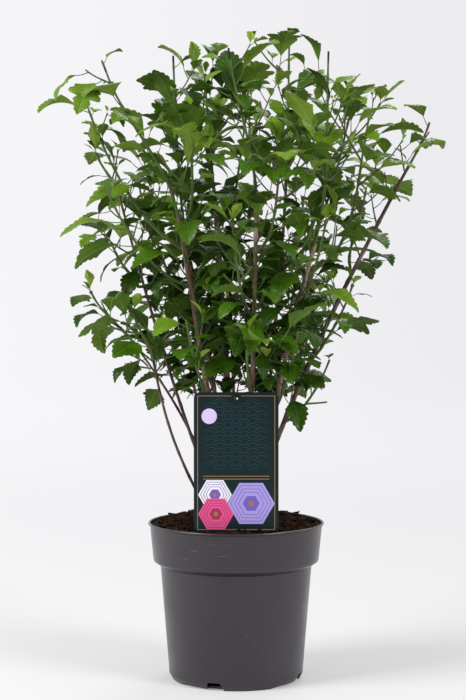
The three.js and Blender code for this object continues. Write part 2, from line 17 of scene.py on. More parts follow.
import bmesh
import bpy
import numpy as np
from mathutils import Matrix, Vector

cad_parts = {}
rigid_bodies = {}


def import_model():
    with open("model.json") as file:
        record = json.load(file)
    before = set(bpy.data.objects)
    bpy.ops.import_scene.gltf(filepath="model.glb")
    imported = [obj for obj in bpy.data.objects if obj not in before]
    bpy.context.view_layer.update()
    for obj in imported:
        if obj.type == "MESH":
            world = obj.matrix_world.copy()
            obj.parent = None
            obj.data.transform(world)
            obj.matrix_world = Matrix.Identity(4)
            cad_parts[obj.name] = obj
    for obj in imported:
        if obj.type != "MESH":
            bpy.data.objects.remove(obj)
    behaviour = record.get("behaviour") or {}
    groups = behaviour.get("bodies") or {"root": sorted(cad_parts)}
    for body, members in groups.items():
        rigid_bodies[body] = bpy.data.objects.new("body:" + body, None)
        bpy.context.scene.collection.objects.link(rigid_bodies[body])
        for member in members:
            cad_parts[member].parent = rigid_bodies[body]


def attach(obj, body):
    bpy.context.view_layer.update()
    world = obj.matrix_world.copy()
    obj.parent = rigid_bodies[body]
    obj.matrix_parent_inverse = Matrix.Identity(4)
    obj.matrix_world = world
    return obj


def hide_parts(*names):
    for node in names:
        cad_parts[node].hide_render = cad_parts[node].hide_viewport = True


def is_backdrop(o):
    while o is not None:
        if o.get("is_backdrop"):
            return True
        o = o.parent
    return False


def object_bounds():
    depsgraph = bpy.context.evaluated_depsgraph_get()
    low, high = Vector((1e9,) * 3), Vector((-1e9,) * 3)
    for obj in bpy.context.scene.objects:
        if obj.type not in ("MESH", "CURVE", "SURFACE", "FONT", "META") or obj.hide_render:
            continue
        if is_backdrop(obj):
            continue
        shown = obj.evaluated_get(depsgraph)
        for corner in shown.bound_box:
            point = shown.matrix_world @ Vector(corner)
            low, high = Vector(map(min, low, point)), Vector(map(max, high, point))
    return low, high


Row = np.ndarray  # one point or direction: three numbers
Rows = np.ndarray  # many of them, one to a row
Pair = tuple[float, float]
Triple = tuple[float, float, float]
Shape = tuple[list, list]  # points and faces
Mesh = bpy.types.Mesh
Object = bpy.types.Object
Socket = bpy.types.NodeSocket

MM = 0.001
BODY = "root"
GOLDEN = math.radians(137.5)
FULL_TURN = 2 * math.pi
UP = np.array((0.0, 0.0, 1.0))
ASIDE = np.array((1.0, 0.2, 0.1))  # where turns round a twig are counted from

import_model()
log = logging.getLogger("shrub")


# ---------------------------------------------------------------- small tools


class Draw:
    """A repeatable source of numbers from 0 to 1."""

    MULTIPLIER = 1664525
    STEP = 1013904223
    RANGE = 2**32
    SEED_MULTIPLIER = 7919
    SEED_STEP = 104729
    WARM_UP = 3  # numbers that are thrown away

    def __init__(self, seed: int) -> None:
        """Starts the row of numbers that belongs to a seed.

        Args:
            seed: A whole number.
        """
        self.state = seed * self.SEED_MULTIPLIER + self.SEED_STEP
        for _ in range(self.WARM_UP):
            self.next()

    def next(self) -> float:
        """Returns the next number."""
        self.state = (self.state * self.MULTIPLIER + self.STEP) % self.RANGE
        return self.state / self.RANGE

    def between(self, limits: Sequence[float]) -> float:
        """Returns a number between a low and a high limit."""
        low, high = limits
        return low + (high - low) * self.next()


def mix(a: float, b: float, t: float) -> float:
    """Returns the value a share t of the way from a to b."""
    return a + (b - a) * t


def unit(v: Row) -> Row:
    """Returns a vector's direction, at length 1."""
    return v / np.linalg.norm(v)


def sideways(tangent: Row, turn: float) -> Row:
    """Returns the direction square to a tangent at a turn round it.

    Args:
        tangent: Direction of the limb.
        turn: Radians, counted from the side that ASIDE lies on.

    Returns:
        The direction, at length 1.
    """
    across = unit(ASIDE - ASIDE.dot(tangent) * tangent)
    return across * math.cos(turn) + np.cross(tangent, across) * math.sin(turn)


def on_path(path: Rows, share: float) -> tuple[Row, Row]:
    """Finds a place on a path of even steps.

    Args:
        path: Its points.
        share: Place on it, from 0 at its start to 1 at its end.

    Returns:
        The point there, and the path's direction.
    """
    steps = len(path) - 1
    i = min(int(share * steps), steps - 1)
    step = path[i + 1] - path[i]
    return path[i] + step * (share * steps - i), unit(step)


def path_length(path: Rows) -> float:
    """Returns the length of a path."""
    return float(np.linalg.norm(np.diff(path, axis=0), axis=1).sum())


def smooth_path(path: Rows, count: int) -> Rows:
    """Lays a smooth curve through the points of a path of even steps.

    Args:
        path: The points.
        count: Number of points of the result.

    Returns:
        Points along the curve, a Catmull-Rom one.
    """
    steps = len(path) - 1
    padded = np.vstack([2 * path[0] - path[1], path, 2 * path[-1] - path[-2]])
    result = []
    for share in np.linspace(0, 1, count):
        i = min(int(share * steps), steps - 1)
        t = share * steps - i
        a, b, c, d = padded[i : i + 4]
        result.append(
            0.5 * (2 * b + (c - a) * t + (2 * a - 5 * b + 4 * c - d) * t**2 + (3 * b - a - 3 * c + d) * t**3)
        )
    return np.array(result)


def segment_distances(points: Rows, starts: Rows, ends: Rows) -> np.ndarray:
    """Measures points against straight segments.

    Args:
        points: The points.
        starts: Where the segments start.
        ends: Where they end.

    Returns:
        The distance from each point, a row, to each segment, a column.
    """
    along = ends - starts
    offset = points[:, None, :] - starts[None, :, :]
    share = np.clip((offset * along).sum(2) / (along * along).sum(1), 0, 1)
    return np.linalg.norm(offset - share[:, :, None] * along, axis=2)


# ---------------------------------------------------------------- the plant's sizes, in mm


class Section(Enum):
    """The parts of the crown. The leaves of each are one piece, and so are its twigs."""

    LEFT = "left"
    MIDDLE = "middle"
    RIGHT = "right"
    FRONT = "front"
    BACK = "back"


class Tone(Enum):
    """Kinds of leaf by age and by place in the crown, which sets their colours: the deep green inside the
    crown is partly painted shade, the fresh green at its top and outside partly painted light.
    """

    DEEP = 0
    GREEN = 1
    FRESH = 2
    YOUNG = 3


class Wood(Enum):
    """Kinds of cane by age, which sets their bark."""

    OLD = "old"
    YOUNG = "young"


@dataclass(frozen=True)
class Cane:
    """A woody cane, from its flat cut on the soil to its tip."""

    foot: Pair
    tip: Triple
    bow: float  # outward, at mid height
    radius: Pair  # at the foot and at the tip
    wood: Wood = Wood.OLD

    GROUND = 169.0
    STEPS = 6
    FLARE = 0.35

    def path(self) -> Rows:
        """Returns the points along the cane."""
        start = np.array((*self.foot, self.GROUND))
        end = np.array(self.tip, float)
        outward = unit((end - start) * (1, 1, 0))
        shares = np.linspace(0, 1, self.STEPS + 1)[:, None]
        return start + (end - start) * shares + outward * self.bow * np.sin(math.pi * shares)

    def radius_at(self, share: float) -> float:
        """Returns the radius at a share of the length, flared at the foot."""
        flare = 1 + self.FLARE * max(0.0, 1 - share * self.STEPS)
        return mix(*self.radius, share) * flare


@dataclass(frozen=True)
class Mass:
    """A mass of foliage that grows from one leading shoot."""

    cane: str
    at: float  # place on the cane, where 1 is its tip
    tip: Triple
    cut: bool = False  # cut back, so bare and blunt at the top
    woody: bool = False  # its leading shoot has bark already


CANES = {
    "cane_left_front": Cane((-7, -10), (-60, -48, 495), 0, (3.7, 2.5)),
    "cane_left_inner": Cane((-5, 9), (-50, 20, 450), -4, (3.4, 2.2)),
    "cane_middle": Cane((-2, 23), (-24, 24, 521), 0, (2.6, 1.8)),
    "cane_middle_back": Cane((2, 35), (-7, 58, 430), 0, (2.4, 1.7)),
    "cane_centre_front": Cane((12, -12), (21, -58, 506), 5, (3.3, 2.3)),
    "cane_right_back": Cane((20, 23), (53, 68, 487), 4, (2.4, 1.7)),
    "cane_right_front": Cane((22, -1), (83, -42, 468), -7, (3.4, 2.2)),
    "cane_right_long": Cane((11, 10), (176, 16, 533), -9, (3.5, 2.1), Wood.YOUNG),
    "cane_left_long": Cane((-16, 3), (-125, -12, 520), 5, (2.1, 1.4), Wood.YOUNG),
    "cane_left_low": Cane((-19, 15), (-108, 21, 357), -14, (1.9, 1.3), Wood.YOUNG),
    "cane_left_outer": Cane((-25, -5), (-88, -34, 345), 10, (1.9, 1.3), Wood.YOUNG),
    "cane_back_left": Cane((-13, 27), (-72, 75, 420), 0, (2.2, 1.5)),
    "cane_back_right": Cane((15, 35), (70, 95, 440), 0, (2.4, 1.6)),
    "cane_back": Cane((5, 47), (-20, 100, 500), 4, (2.6, 1.7)),
}

MASSES = {
    "leaves_left_spire": Mass("cane_left_front", 1, (-140, -50, 658), cut=True),
    "leaves_left_high": Mass("cane_left_front", 0.9, (-160, -6, 618)),
    "leaves_left_front": Mass("cane_left_front", 0.78, (-132, -84, 520)),
    "leaves_left_shoulder": Mass("cane_left_long", 1, (-150, -6, 566)),
    "leaves_left_middle": Mass("cane_left_long", 0.74, (-135, 8, 470)),
    "leaves_left_low": Mass("cane_left_low", 1, (-160, 34, 418)),
    "leaves_left_base": Mass("cane_left_outer", 1, (-108, -52, 396)),
    "leaves_inner_spire": Mass("cane_left_inner", 1, (-68, 10, 672), cut=True),
    "leaves_crown_left": Mass("cane_middle", 1, (-34, 30, 655)),
    "leaves_crown_front": Mass("cane_left_front", 0.97, (-48, -92, 600)),
    "leaves_centre_spire": Mass("cane_centre_front", 1, (-8, -44, 672), cut=True),
    "leaves_centre_back": Mass("cane_middle_back", 1, (14, 84, 650)),
    "leaves_centre_right": Mass("cane_centre_front", 0.86, (46, -92, 570)),
    "leaves_tall_spire": Mass("cane_right_back", 1, (59, 52, 700), cut=True),
    "leaves_right_spire": Mass("cane_right_front", 1, (98, -20, 672), cut=True),
    "leaves_right_front": Mass("cane_right_front", 0.9, (138, -58, 598)),
    "leaves_right_high": Mass("cane_right_back", 0.86, (128, 40, 625)),
    "leaves_right_tip": Mass("cane_right_long", 1, (212, 22, 606), woody=True),
    "leaves_right_middle": Mass("cane_right_long", 0.74, (146, 62, 538)),
    "leaves_right_low": Mass("cane_right_long", 0.48, (124, -26, 425)),
    "leaves_right_base": Mass("cane_right_long", 0.3, (100, -20, 345)),
    "leaves_heart_front": Mass("cane_centre_front", 0.66, (-4, -104, 486)),
    "leaves_heart_right": Mass("cane_right_front", 0.74, (92, -88, 490)),
    "leaves_front_left": Mass("cane_left_front", 0.42, (-52, -92, 392)),
    "leaves_front_centre": Mass("cane_centre_front", 0.42, (10, -88, 372)),
    "leaves_front_right": Mass("cane_right_front", 0.42, (64, -76, 376)),
    "leaves_back_left": Mass("cane_back_left", 1, (-112, 104, 545)),
    "leaves_back_low_left": Mass("cane_back_left", 0.55, (-92, 92, 385)),
    "leaves_back_spire": Mass("cane_back", 1, (-44, 118, 635), cut=True),
    "leaves_back_low": Mass("cane_back", 0.55, (-8, 122, 400)),
    "leaves_back_right": Mass("cane_back_right", 1, (112, 112, 575)),
    "leaves_back_low_right": Mass("cane_back_right", 0.55, (88, 112, 395)),
}


def section_of(mass: str) -> Section:
    """Tells where a mass belongs, from its name.

    Args:
        mass: The mass's name.

    Returns:
        The part of the crown.
    """
    for section in (Section.LEFT, Section.RIGHT, Section.FRONT, Section.BACK):
        if mass.startswith(f"leaves_{section.value}"):
            return section
    return Section.MIDDLE


@dataclass(frozen=True)
class Crown:
    """The crown's outline: how far it reaches to the left and to the right at each height."""

    reach: tuple[Triple, ...] = (
        (262, 84, 98), (320, 135, 138), (400, 194, 160), (500, 192, 190),
        (590, 216, 238), (652, 206, 196), (684, 150, 140), (712, 70, 80),
    )
    depth: float = 0.84  # reach to the front and back, of the reach to the sides
    dome: float = 0.0014  # fall of the outline towards front and back, per square of depth
    square: float = 3  # power of the rounded section seen from above
    label_gap: float = 8

    def holds(self, points: Rows) -> bool:
        """Tests points against the outline and the label.

        Args:
            points: The points.

        Returns:
            Whether every one is inside.
        """
        x, y, z = points.T
        height = z + self.dome * y * y
        levels, left, right = np.array(self.reach).T
        if height.min() < levels[0] or height.max() >= levels[-1]:
            return False
        top = Label.foot[2] + Label.height + self.label_gap
        if np.any((y < Label.foot[1] + self.label_gap) & (z < top)):
            return False
        to_left = np.interp(height, levels, left)
        to_right = np.interp(height, levels, right)
        across = np.abs(x) / np.where(x < 0, to_left, to_right)
        along = np.abs(y) / (self.depth * 0.5 * (to_left + to_right))
        return bool(np.all(across**self.square + along**self.square < 1))


@dataclass(frozen=True)
class Growth:
    """How every mass grows: the rule that the solids follow too."""

    seed: int = 71
    clear: float = 0.3
    lead_radius: Pair = (1.5, 0.9)
    lead_steps: int = 5
    side_steps: int = 2
    cut_bare: float = 36
    seat: float = 0.72
    lead_lean: float = 0.6
    bend: float = 0.32
    rise: float = 0.7
    side_lean: float = 0.8
    side_lift: float = 0.2
    petiole: float = 0.34
    leaf_lean: float = 0.55
    leaf_lift: float = 0.12
    tries: tuple[float, ...] = (0, 0.5, -0.5, 1.1, -1.1, 1.8, -1.8, 2.6, -2.6)
    shrink: tuple[float, ...] = (1, 1, 1, 0.9, 0.9, 0.8, 0.8, 0.68, 0.68)
    limb_margin: float = 4.5
    twig_margin: float = 2.2


@dataclass(frozen=True)
class Dressing:
    """How leaves are set along one kind of twig."""

    first: float  # from the start of the twig to its first leaf
    gap: float
    sizes: Pair  # blade length, low on the twig and at its tip
    spacing: float  # between the middles of two blades of one mass
    spread: Pair = (0.86, 1.14)
    droop: Pair = (0.8, 1.4)  # radians that a blade bends through
    roll: Pair = (-0.45, 0.45)
    cell_margin: float = 2
    bare: float = 0


@dataclass(frozen=True)
class Branching:
    """How side twigs leave a longer one."""

    count: int
    where: Pair
    length: Pair
    radius: Pair
    cell_margin: float = 2


LEAD_DRESS = Dressing(16, 28, (78, 52), 20)
CUT_LEAD_DRESS = Dressing(16, 28, (78, 70), 20, bare=Growth.cut_bare)
SIDE_DRESS = Dressing(14, 23, (70, 52), 20)
SIDE_BRANCHING = Branching(3, (0.24, 0.8), (42, 78), (1.0, 0.6))

LIFE_SIZE = 0.96  # of the solids' leaves, which are larger than life because they are fewer
LONGEST = 66  # blade
FINE_BRANCHING = Branching(5, (0.12, 0.94), (24, 52), (0.8, 0.5), cell_margin=-4)
FINE_DRESS = Dressing(10, 17, (58, 40), 17, spread=(0.7, 1.15), cell_margin=-4)
SUB_BRANCHING = Branching(1, (0.3, 0.85), (16, 32), (0.65, 0.42), cell_margin=-4)
SUB_DRESS = Dressing(7, 12, (40, 28), 14, spread=(0.7, 1.15), cell_margin=-4)
AXIL_DRESS = Dressing(24, 31, (36, 26), 14, spread=(0.6, 1.2), droop=(0.5, 1.3), cell_margin=-6)
FINE_SEED = 4000
THIN_SEED = 6000
TIP_CHANCE = 0.55
SHORTEST = 0.3  # share of a growing shoot that always stays
PAST_LAST = 0.05  # share of it that stays past the last leaf or twig


@dataclass(frozen=True)
class Spurs:
    """The short leafy twigs that stand on the canes themselves, all the way up."""

    lowest: float = 285  # height of the first
    gap: float = 11
    gap_spread: Pair = (0.6, 1.4)
    length: Pair = (14, 54)
    lean: float = 0.9
    radius: Pair = (0.8, 0.5)
    dress: Dressing = Dressing(8, 12, (48, 34), 13, spread=(0.65, 1.2), droop=(0.6, 1.5), cell_margin=-1000)
    seed: int = 8000


@dataclass(frozen=True)
class Fullness:
    """Where the crown is full. Beyond, only a share of the twigs and leaves is left."""

    reach: tuple[Triple, ...] = (
        (262, 24, 34), (330, 52, 70), (400, 90, 104), (480, 116, 118),
        (520, 126, 150), (545, 132, 178), (575, 156, 182), (605, 150, 182),
        (635, 122, 165), (665, 85, 130), (705, 40, 60),
    )
    depth: float = 0.85
    twigs_beyond: float = 0.18
    leaves_beyond: float = 0.4
    usual: float = 44  # length of a blade that this share holds for: longer ones stay more often
    airy: float = 600  # above this the full part is looser
    leaves_airy: float = 0.72
    low: float = 312  # below this few leaves are left
    leaves_low: float = 0.1

    def keeps(self, leaf: "Leaf", leading: bool, draw: Draw) -> bool:
        """Decides whether a leaf stays.

        Args:
            leaf: The leaf.
            leading: Whether it stands on a mass's leading shoot.
            draw: Source of the random numbers.

        Returns:
            Whether it stays.
        """
        middle = leaf.middle()
        chance = 1.0
        if middle[2] < self.low:
            chance = self.leaves_low
        elif leading:
            return True
        elif not self.holds(middle):
            chance = self.leaves_beyond * (leaf.length / self.usual) ** 2
        elif middle[2] > self.airy:
            chance = self.leaves_airy
        return draw.next() < chance

    def holds(self, point: Row) -> bool:
        """Tests whether a point lies in the full part.

        Args:
            point: The point.

        Returns:
            Whether it does.
        """
        x, y, z = point
        levels, left, right = np.array(self.reach).T
        half_width = np.interp(z, levels, left if x < 0 else right)
        half_depth = self.depth * half_width
        return (x / half_width) ** 2 + (y / half_depth) ** 2 < 1


@dataclass(frozen=True)
class TipCluster:
    """The young leaves at the growing tip of a shoot."""

    count: int = 3
    sizes: Pair = (30, 14)
    lean: float = 1.3  # towards the shoot's own direction
    droop: Pair = (0.15, 0.6)
    fold: float = 0.55
    petiole: float = 0.6  # length, of a grown leaf's
    scale: Pair = (0.6, 1.1)
    headroom: float = 12  # kept free under the top of the crown


@dataclass(frozen=True)
class Toning:
    """How the kinds of leaf are dealt out by how open the crown is about them: deeper green inside, paler at
    the top and outside, partly by age and partly as painted shade and painted light.
    """

    out: float = 0.6  # share that the distance from the middle has
    reach: Pair = (210, 170)  # of the crown, to the side and to the front
    up: float = 0.5  # share that the height has
    heights: Pair = (300, 700)
    chance: Pair = (-0.35, 0.35)
    deep: float = 0.38  # below this a leaf is deep green
    green: float = 0.76  # and below this green

    def openness(self, point: Row) -> float:
        """Reckons how open the crown is at a point.

        Args:
            point: The point.

        Returns:
            From about 0, inside, to 1.
        """
        low, high = self.heights
        out = np.hypot(point[0] / self.reach[0], point[1] / self.reach[1])
        return out * self.out + (point[2] - low) / (high - low) * self.up


TONING = Toning()


# ---------------------------------------------------------------- growing


@dataclass(eq=False)
class Leaf:
    """One leaf: where its petiole leaves the twig, and the frame that its blade bends in."""

    root: Row
    base: Row
    forward: Row
    across: Row
    length: float
    droop: float
    tone: Tone = Tone.GREEN
    fold: float = 0.25
    twig: "Twig | None" = None  # what carries it
    share: float = 1  # place on that twig

    MIDDLE = 0.42
    CORNERS = ((0.43, 0.4), (0.65, 0.24), (1, 0), (0.65, -0.24), (0.43, -0.4))
    PROBES = ((0.75, 0), (0.22, 0.18), (0.22, -0.18))

    @property
    def over(self) -> Row:
        """Returns the direction square to the blade at its base."""
        return np.cross(self.across, self.forward)

    def points(self, places: Sequence[Pair]) -> Rows:
        """Finds points of the bent blade.

        Args:
            places: Shares along the midrib and out to the side.

        Returns:
            The points.
        """
        along, out = np.array(places, float).T[:, :, None]
        bend = self.droop * along
        scale = self.length / self.droop
        normal = self.over * np.cos(bend) + self.forward * np.sin(bend)
        return (
            self.base
            + self.forward * scale * np.sin(bend)
            + self.over * scale * (np.cos(bend) - 1)
            + self.across * out * self.length
            + normal * np.abs(out) * self.length * self.fold
        )

    def middle(self) -> Row:
        """Returns the middle of the blade."""
        return self.points([(self.MIDDLE, 0)])[0]


@dataclass(eq=False)
class Twig:
    """A green twig: its path by the rule, and its radius at both ends."""

    path: Rows
    radius: Pair
    cut: bool = False
    woody: bool = False
    parent: "Twig | None" = None  # the longer twig that it stands on
    share: float = 0  # place on that twig
    heel: Row | None = None  # point inside the cane that it stands on
    end: float = 1  # share of the path that is kept

    STEP = 4.0

    @cached_property
    def line(self) -> Rows:
        """Returns the smooth line of the whole twig, from the middle of what carries it."""
        line = smooth_path(self.path, max(7, int(path_length(self.path) / self.STEP)))
        if self.parent is not None:
            line[0] = self.parent.point(self.share)
        return line

    def point(self, share: float) -> Row:
        """Returns the point at a share of the twig's line."""
        return on_path(self.line, share)[0]


@dataclass
class Spray:
    """All that grows on one leading shoot."""

    mass: str
    twigs: list[Twig] = field(default_factory=list)
    leaves: list[Leaf] = field(default_factory=list)


class Grower:
    """Grows the masses of foliage on the canes by the seeded rule."""

    def __init__(self, growth: Growth, crown: Crown) -> None:
        """Lays out the canes and leading shoots that everything else keeps clear of.

        Args:
            growth: The rule.
            crown: The outline to stay in.
        """
        self.rule = growth
        self.crown = crown
        self.fullness = Fullness()
        self.names = list(MASSES)
        self.leads = {name: self.lead_path(mass) for name, mass in MASSES.items()}
        leads = np.array(list(self.leads.values()))
        canes = np.array([cane.path() for cane in CANES.values()])
        self.lead_starts = leads[:, :-1].reshape(-1, 3)
        self.lead_ends = leads[:, 1:].reshape(-1, 3)
        self.cane_starts = canes[:, :-1].reshape(-1, 3)
        self.cane_ends = canes[:, 1:].reshape(-1, 3)
        self.cane_radii = np.array([cane.radius[0] for cane in CANES.values()])

    def shoot_path(self, start: Row, lead: Row, tip: Row, steps: int) -> Rows:
        """Bends a shoot from its start to its tip.

        Args:
            start: Where it starts.
            lead: Direction that it leaves in.
            tip: Where it ends, rising.
            steps: Number of straight steps.

        Returns:
            The points of the path.
        """
        chord = tip - start
        reach = np.linalg.norm(chord) * self.rule.bend
        rise = unit(unit(chord) + UP * self.rule.rise)
        handles = (start, start + lead * reach, tip - rise * reach, tip)
        t = np.linspace(0, 1, steps + 1)[:, None]
        weights = ((1 - t) ** 3, 3 * t * (1 - t) ** 2, 3 * t**2 * (1 - t), t**3)
        return sum(weight * handle for weight, handle in zip(weights, handles))

    def lead_path(self, mass: Mass) -> Rows:
        """Lays a mass's leading shoot, clear of the cane that carries it.

        Args:
            mass: The mass.

        Returns:
            The points of the path.
        """
        cane = CANES[mass.cane]
        point, tangent = on_path(cane.path(), mass.at)
        end = np.array(mass.tip, float)
        if mass.at == 1:
            start, lead = point + tangent * self.rule.clear, tangent
        else:
            away = end - point
            away = unit(away - away.dot(tangent) * tangent)
            lead = unit(away + tangent * self.rule.lead_lean)
            seat = self.rule.lead_radius[0] * self.rule.seat
            start = point + away * (cane.radius_at(mass.at) + self.rule.clear + seat)
        return self.shoot_path(start, lead, end, self.rule.lead_steps)

    def keeps_to_space(self, points: Rows, mass: str, margin: float) -> bool:
        """Tests whether points keep to the crown and to their own mass's space.

        Args:
            points: The points.
            mass: The mass's name.
            margin: How much nearer they must be to its own shoot than to others.

        Returns:
            Whether all of them do.
        """
        if not self.crown.holds(points):
            return False
        steps = self.rule.lead_steps
        near = segment_distances(points, self.lead_starts, self.lead_ends)
        near = near.reshape(len(points), -1, steps).min(axis=2)
        own = self.names.index(mass)
        others = np.delete(near, own, axis=1)
        return bool(np.all(others.min(axis=1) > near[:, own] + margin))

    def clears_canes(self, points: Rows, margin: float) -> bool:
        """Tests whether points stay away from every cane.

        Args:
            points: The points.
            margin: The least distance.

        Returns:
            Whether all of them do.
        """
        near = segment_distances(points, self.cane_starts, self.cane_ends)
        near = near.reshape(len(points), -1, Cane.STEPS).min(axis=2)
        return bool(np.all(near > self.cane_radii + margin))

    def grow_leaf(
        self, root: Row, tangent: Row, turn: float, length: float, droop: float, roll: float
    ) -> Leaf:
        """Sets a leaf on a twig.

        Args:
            root: Where its petiole starts.
            tangent: Direction of the twig there.
            turn: Radians round the twig.
            length: Of the blade.
            droop: Radians that the blade bends through.
            roll: Radians that it is turned about its midrib.

        Returns:
            The leaf.
        """
        forward = unit(sideways(tangent, turn) + tangent * self.rule.leaf_lean + UP * self.rule.leaf_lift)
        right = unit(np.cross(forward, UP))
        top = np.cross(right, forward)
        across = right * math.cos(roll) + top * math.sin(roll)
        base = root + forward * length * self.rule.petiole
        return Leaf(root, base, forward, across, length, droop)

    def has_room(self, leaf: Leaf, spray: Spray, dressing: Dressing) -> bool:
        """Tests whether a leaf is clear of limbs and other leaves, and in its mass's space.

        Args:
            leaf: The leaf.
            spray: What it would belong to.
            dressing: How leaves are set here.

        Returns:
            Whether it has room.
        """
        middle = leaf.middle()
        if any(np.linalg.norm(other.middle() - middle) <= dressing.spacing for other in spray.leaves):
            return False
        blade = leaf.points([*leaf.CORNERS, (leaf.MIDDLE, 0), *leaf.PROBES])
        stalk = np.array([leaf.base, (leaf.root + leaf.base) / 2])
        return (
            self.clears_canes(stalk, self.rule.twig_margin)
            and self.clears_canes(blade, self.rule.limb_margin)
            and self.keeps_to_space(np.vstack([blade, stalk]), spray.mass, dressing.cell_margin)
        )

    def dress(self, spray: Spray, draw: Draw, twig: Twig, dressing: Dressing) -> int:
        """Sets leaves along a twig, one at each node, turning by the golden angle.

        Args:
            spray: What the leaves are added to.
            draw: Source of the random numbers.
            twig: The twig that carries them.
            dressing: How they are set.

        Returns:
            The number of leaves that found room.
        """
        length = path_length(twig.path)
        turn = draw.between((0, FULL_TURN))
        count = len(spray.leaves)
        along = dressing.first
        while along < length - dressing.bare:
            turn += GOLDEN
            share = along / length
            point, tangent = on_path(twig.path, share)
            size = mix(*dressing.sizes, share) * draw.between(dressing.spread)
            droop = draw.between(dressing.droop)
            roll = draw.between(dressing.roll)
            for more, shrink in zip(self.rule.tries, self.rule.shrink):
                leaf = self.grow_leaf(point, tangent, turn + more, size * shrink, droop, roll)
                if self.has_room(leaf, spray, dressing):
                    leaf.twig = twig
                    leaf.share = share
                    spray.leaves.append(leaf)
                    break
            along += dressing.gap
        return len(spray.leaves) - count

    def side_twig(self, spray: Spray, draw: Draw, parent: Twig, turn: float, kind: Branching) -> Twig | None:
        """Tries to set a bare side twig on a longer one.

        Args:
            spray: What it would belong to.
            draw: Source of the random numbers.
            parent: The longer twig.
            turn: Radians round that twig.
            kind: How side twigs leave it.

        Returns:
            The twig, or None where none fits in the mass's space.
        """
        share = draw.between(kind.where)
        point, tangent = on_path(parent.path, share)
        length = draw.between(kind.length)
        for more, shrink in zip(self.rule.tries, self.rule.shrink):
            lead = unit(sideways(tangent, turn + more) + tangent * self.rule.side_lean)
            reach = length * shrink
            tip = point + lead * reach + UP * reach * self.rule.side_lift
            path = self.shoot_path(point, lead, tip, self.rule.side_steps)
            if self.clears_canes(path[1:], self.rule.twig_margin) and self.keeps_to_space(
                path[1:], spray.mass, kind.cell_margin
            ):
                return Twig(path, kind.radius, parent=parent, share=share)
        return None

    def branch(
        self, spray: Spray, draw: Draw, parent: Twig, kind: Branching, dressing: Dressing
    ) -> list[Twig]:
        """Grows dressed side twigs from a longer one. A twig that gets no leaf is dropped.

        Args:
            spray: What they are added to.
            draw: Source of the random numbers.
            parent: The longer twig.
            kind: How they leave it.
            dressing: How their leaves are set.

        Returns:
            The twigs.
        """
        turn = draw.between((0, FULL_TURN))
        grown = []
        for _ in range(kind.count):
            turn += GOLDEN
            twig = self.side_twig(spray, draw, parent, turn, kind)
            if twig is not None and self.dress(spray, draw, twig, dressing):
                grown.append(twig)
        spray.twigs.extend(grown)
        return grown

    def grow(self, name: str, seed: int) -> Spray:
        """Grows one mass: first what its solid has, then the finer twigs and young tips.

        Args:
            name: The mass's name.
            seed: Sets its random numbers.

        Returns:
            All that grows on its leading shoot.
        """
        mass = MASSES[name]
        spray = Spray(name)
        draw = Draw(seed)
        heel = on_path(CANES[mass.cane].path(), mass.at)[0]
        lead = Twig(self.leads[name], self.rule.lead_radius, mass.cut, mass.woody, heel=heel)
        spray.twigs.append(lead)
        self.dress(spray, draw, lead, CUT_LEAD_DRESS if mass.cut else LEAD_DRESS)
        sides = self.branch(spray, draw, lead, SIDE_BRANCHING, SIDE_DRESS)
        for leaf in spray.leaves:
            self.trim(leaf, min(LIFE_SIZE, LONGEST / leaf.length))
        thinning = Draw(seed + THIN_SEED)
        self.thin(spray, thinning, 1, 0)
        sides = [twig for twig in sides if twig in spray.twigs]
        settled = len(spray.twigs), len(spray.leaves)
        self.grow_finer(spray, Draw(seed + FINE_SEED), lead, sides)
        self.thin(spray, thinning, *settled)
        self.shorten(spray)
        return spray

    def shorten(self, spray: Spray) -> None:
        """Ends every growing shoot a little past the last leaf or twig that it carries.

        Args:
            spray: What the shoots belong to.
        """
        for twig in spray.twigs:
            places = [leaf.share for leaf in spray.leaves if leaf.twig is twig]
            places += [other.share for other in spray.twigs if other.parent is twig]
            if not twig.cut:
                twig.end = min(1.0, max(places, default=SHORTEST) + PAST_LAST)

    def thin(self, spray: Spray, draw: Draw, first_twig: int, first_leaf: int) -> None:
        """Takes out twigs and leaves where the crown is open.

        Args:
            spray: What they are taken from.
            draw: Source of the random numbers.
            first_twig: Number of the first twig that may go.
            first_leaf: Number of the first leaf that may go.
        """
        full = self.fullness
        dropped = [
            twig
            for twig in spray.twigs[first_twig:]
            if not full.holds(twig.path[-1]) and draw.next() > full.twigs_beyond
        ]
        kept = [
            leaf
            for leaf in spray.leaves[first_leaf:]
            if leaf.twig not in dropped and full.keeps(leaf, leaf.twig is spray.twigs[0], draw)
        ]
        spray.twigs = [twig for twig in spray.twigs if twig not in dropped]
        spray.leaves[first_leaf:] = kept

    def grow_spurs(self, spurs: Spurs, sprays: dict[str, Spray]) -> None:
        """Grows leafy spurs all the way up the canes, each as part of the nearest mass.

        Args:
            spurs: How spurs grow.
            sprays: The masses, by name.
        """
        for number, cane in enumerate(CANES.values()):
            draw = Draw(spurs.seed + number)
            path = cane.path()
            length = path_length(path)
            turn = draw.between((0, FULL_TURN))
            along = spurs.gap
            while along < length:
                turn += GOLDEN
                share = along / length
                point, tangent = on_path(path, share)
                along += spurs.gap * draw.between(spurs.gap_spread)
                if point[2] > spurs.lowest:
                    self.grow_spur(spurs, sprays, draw, (point, tangent, turn))

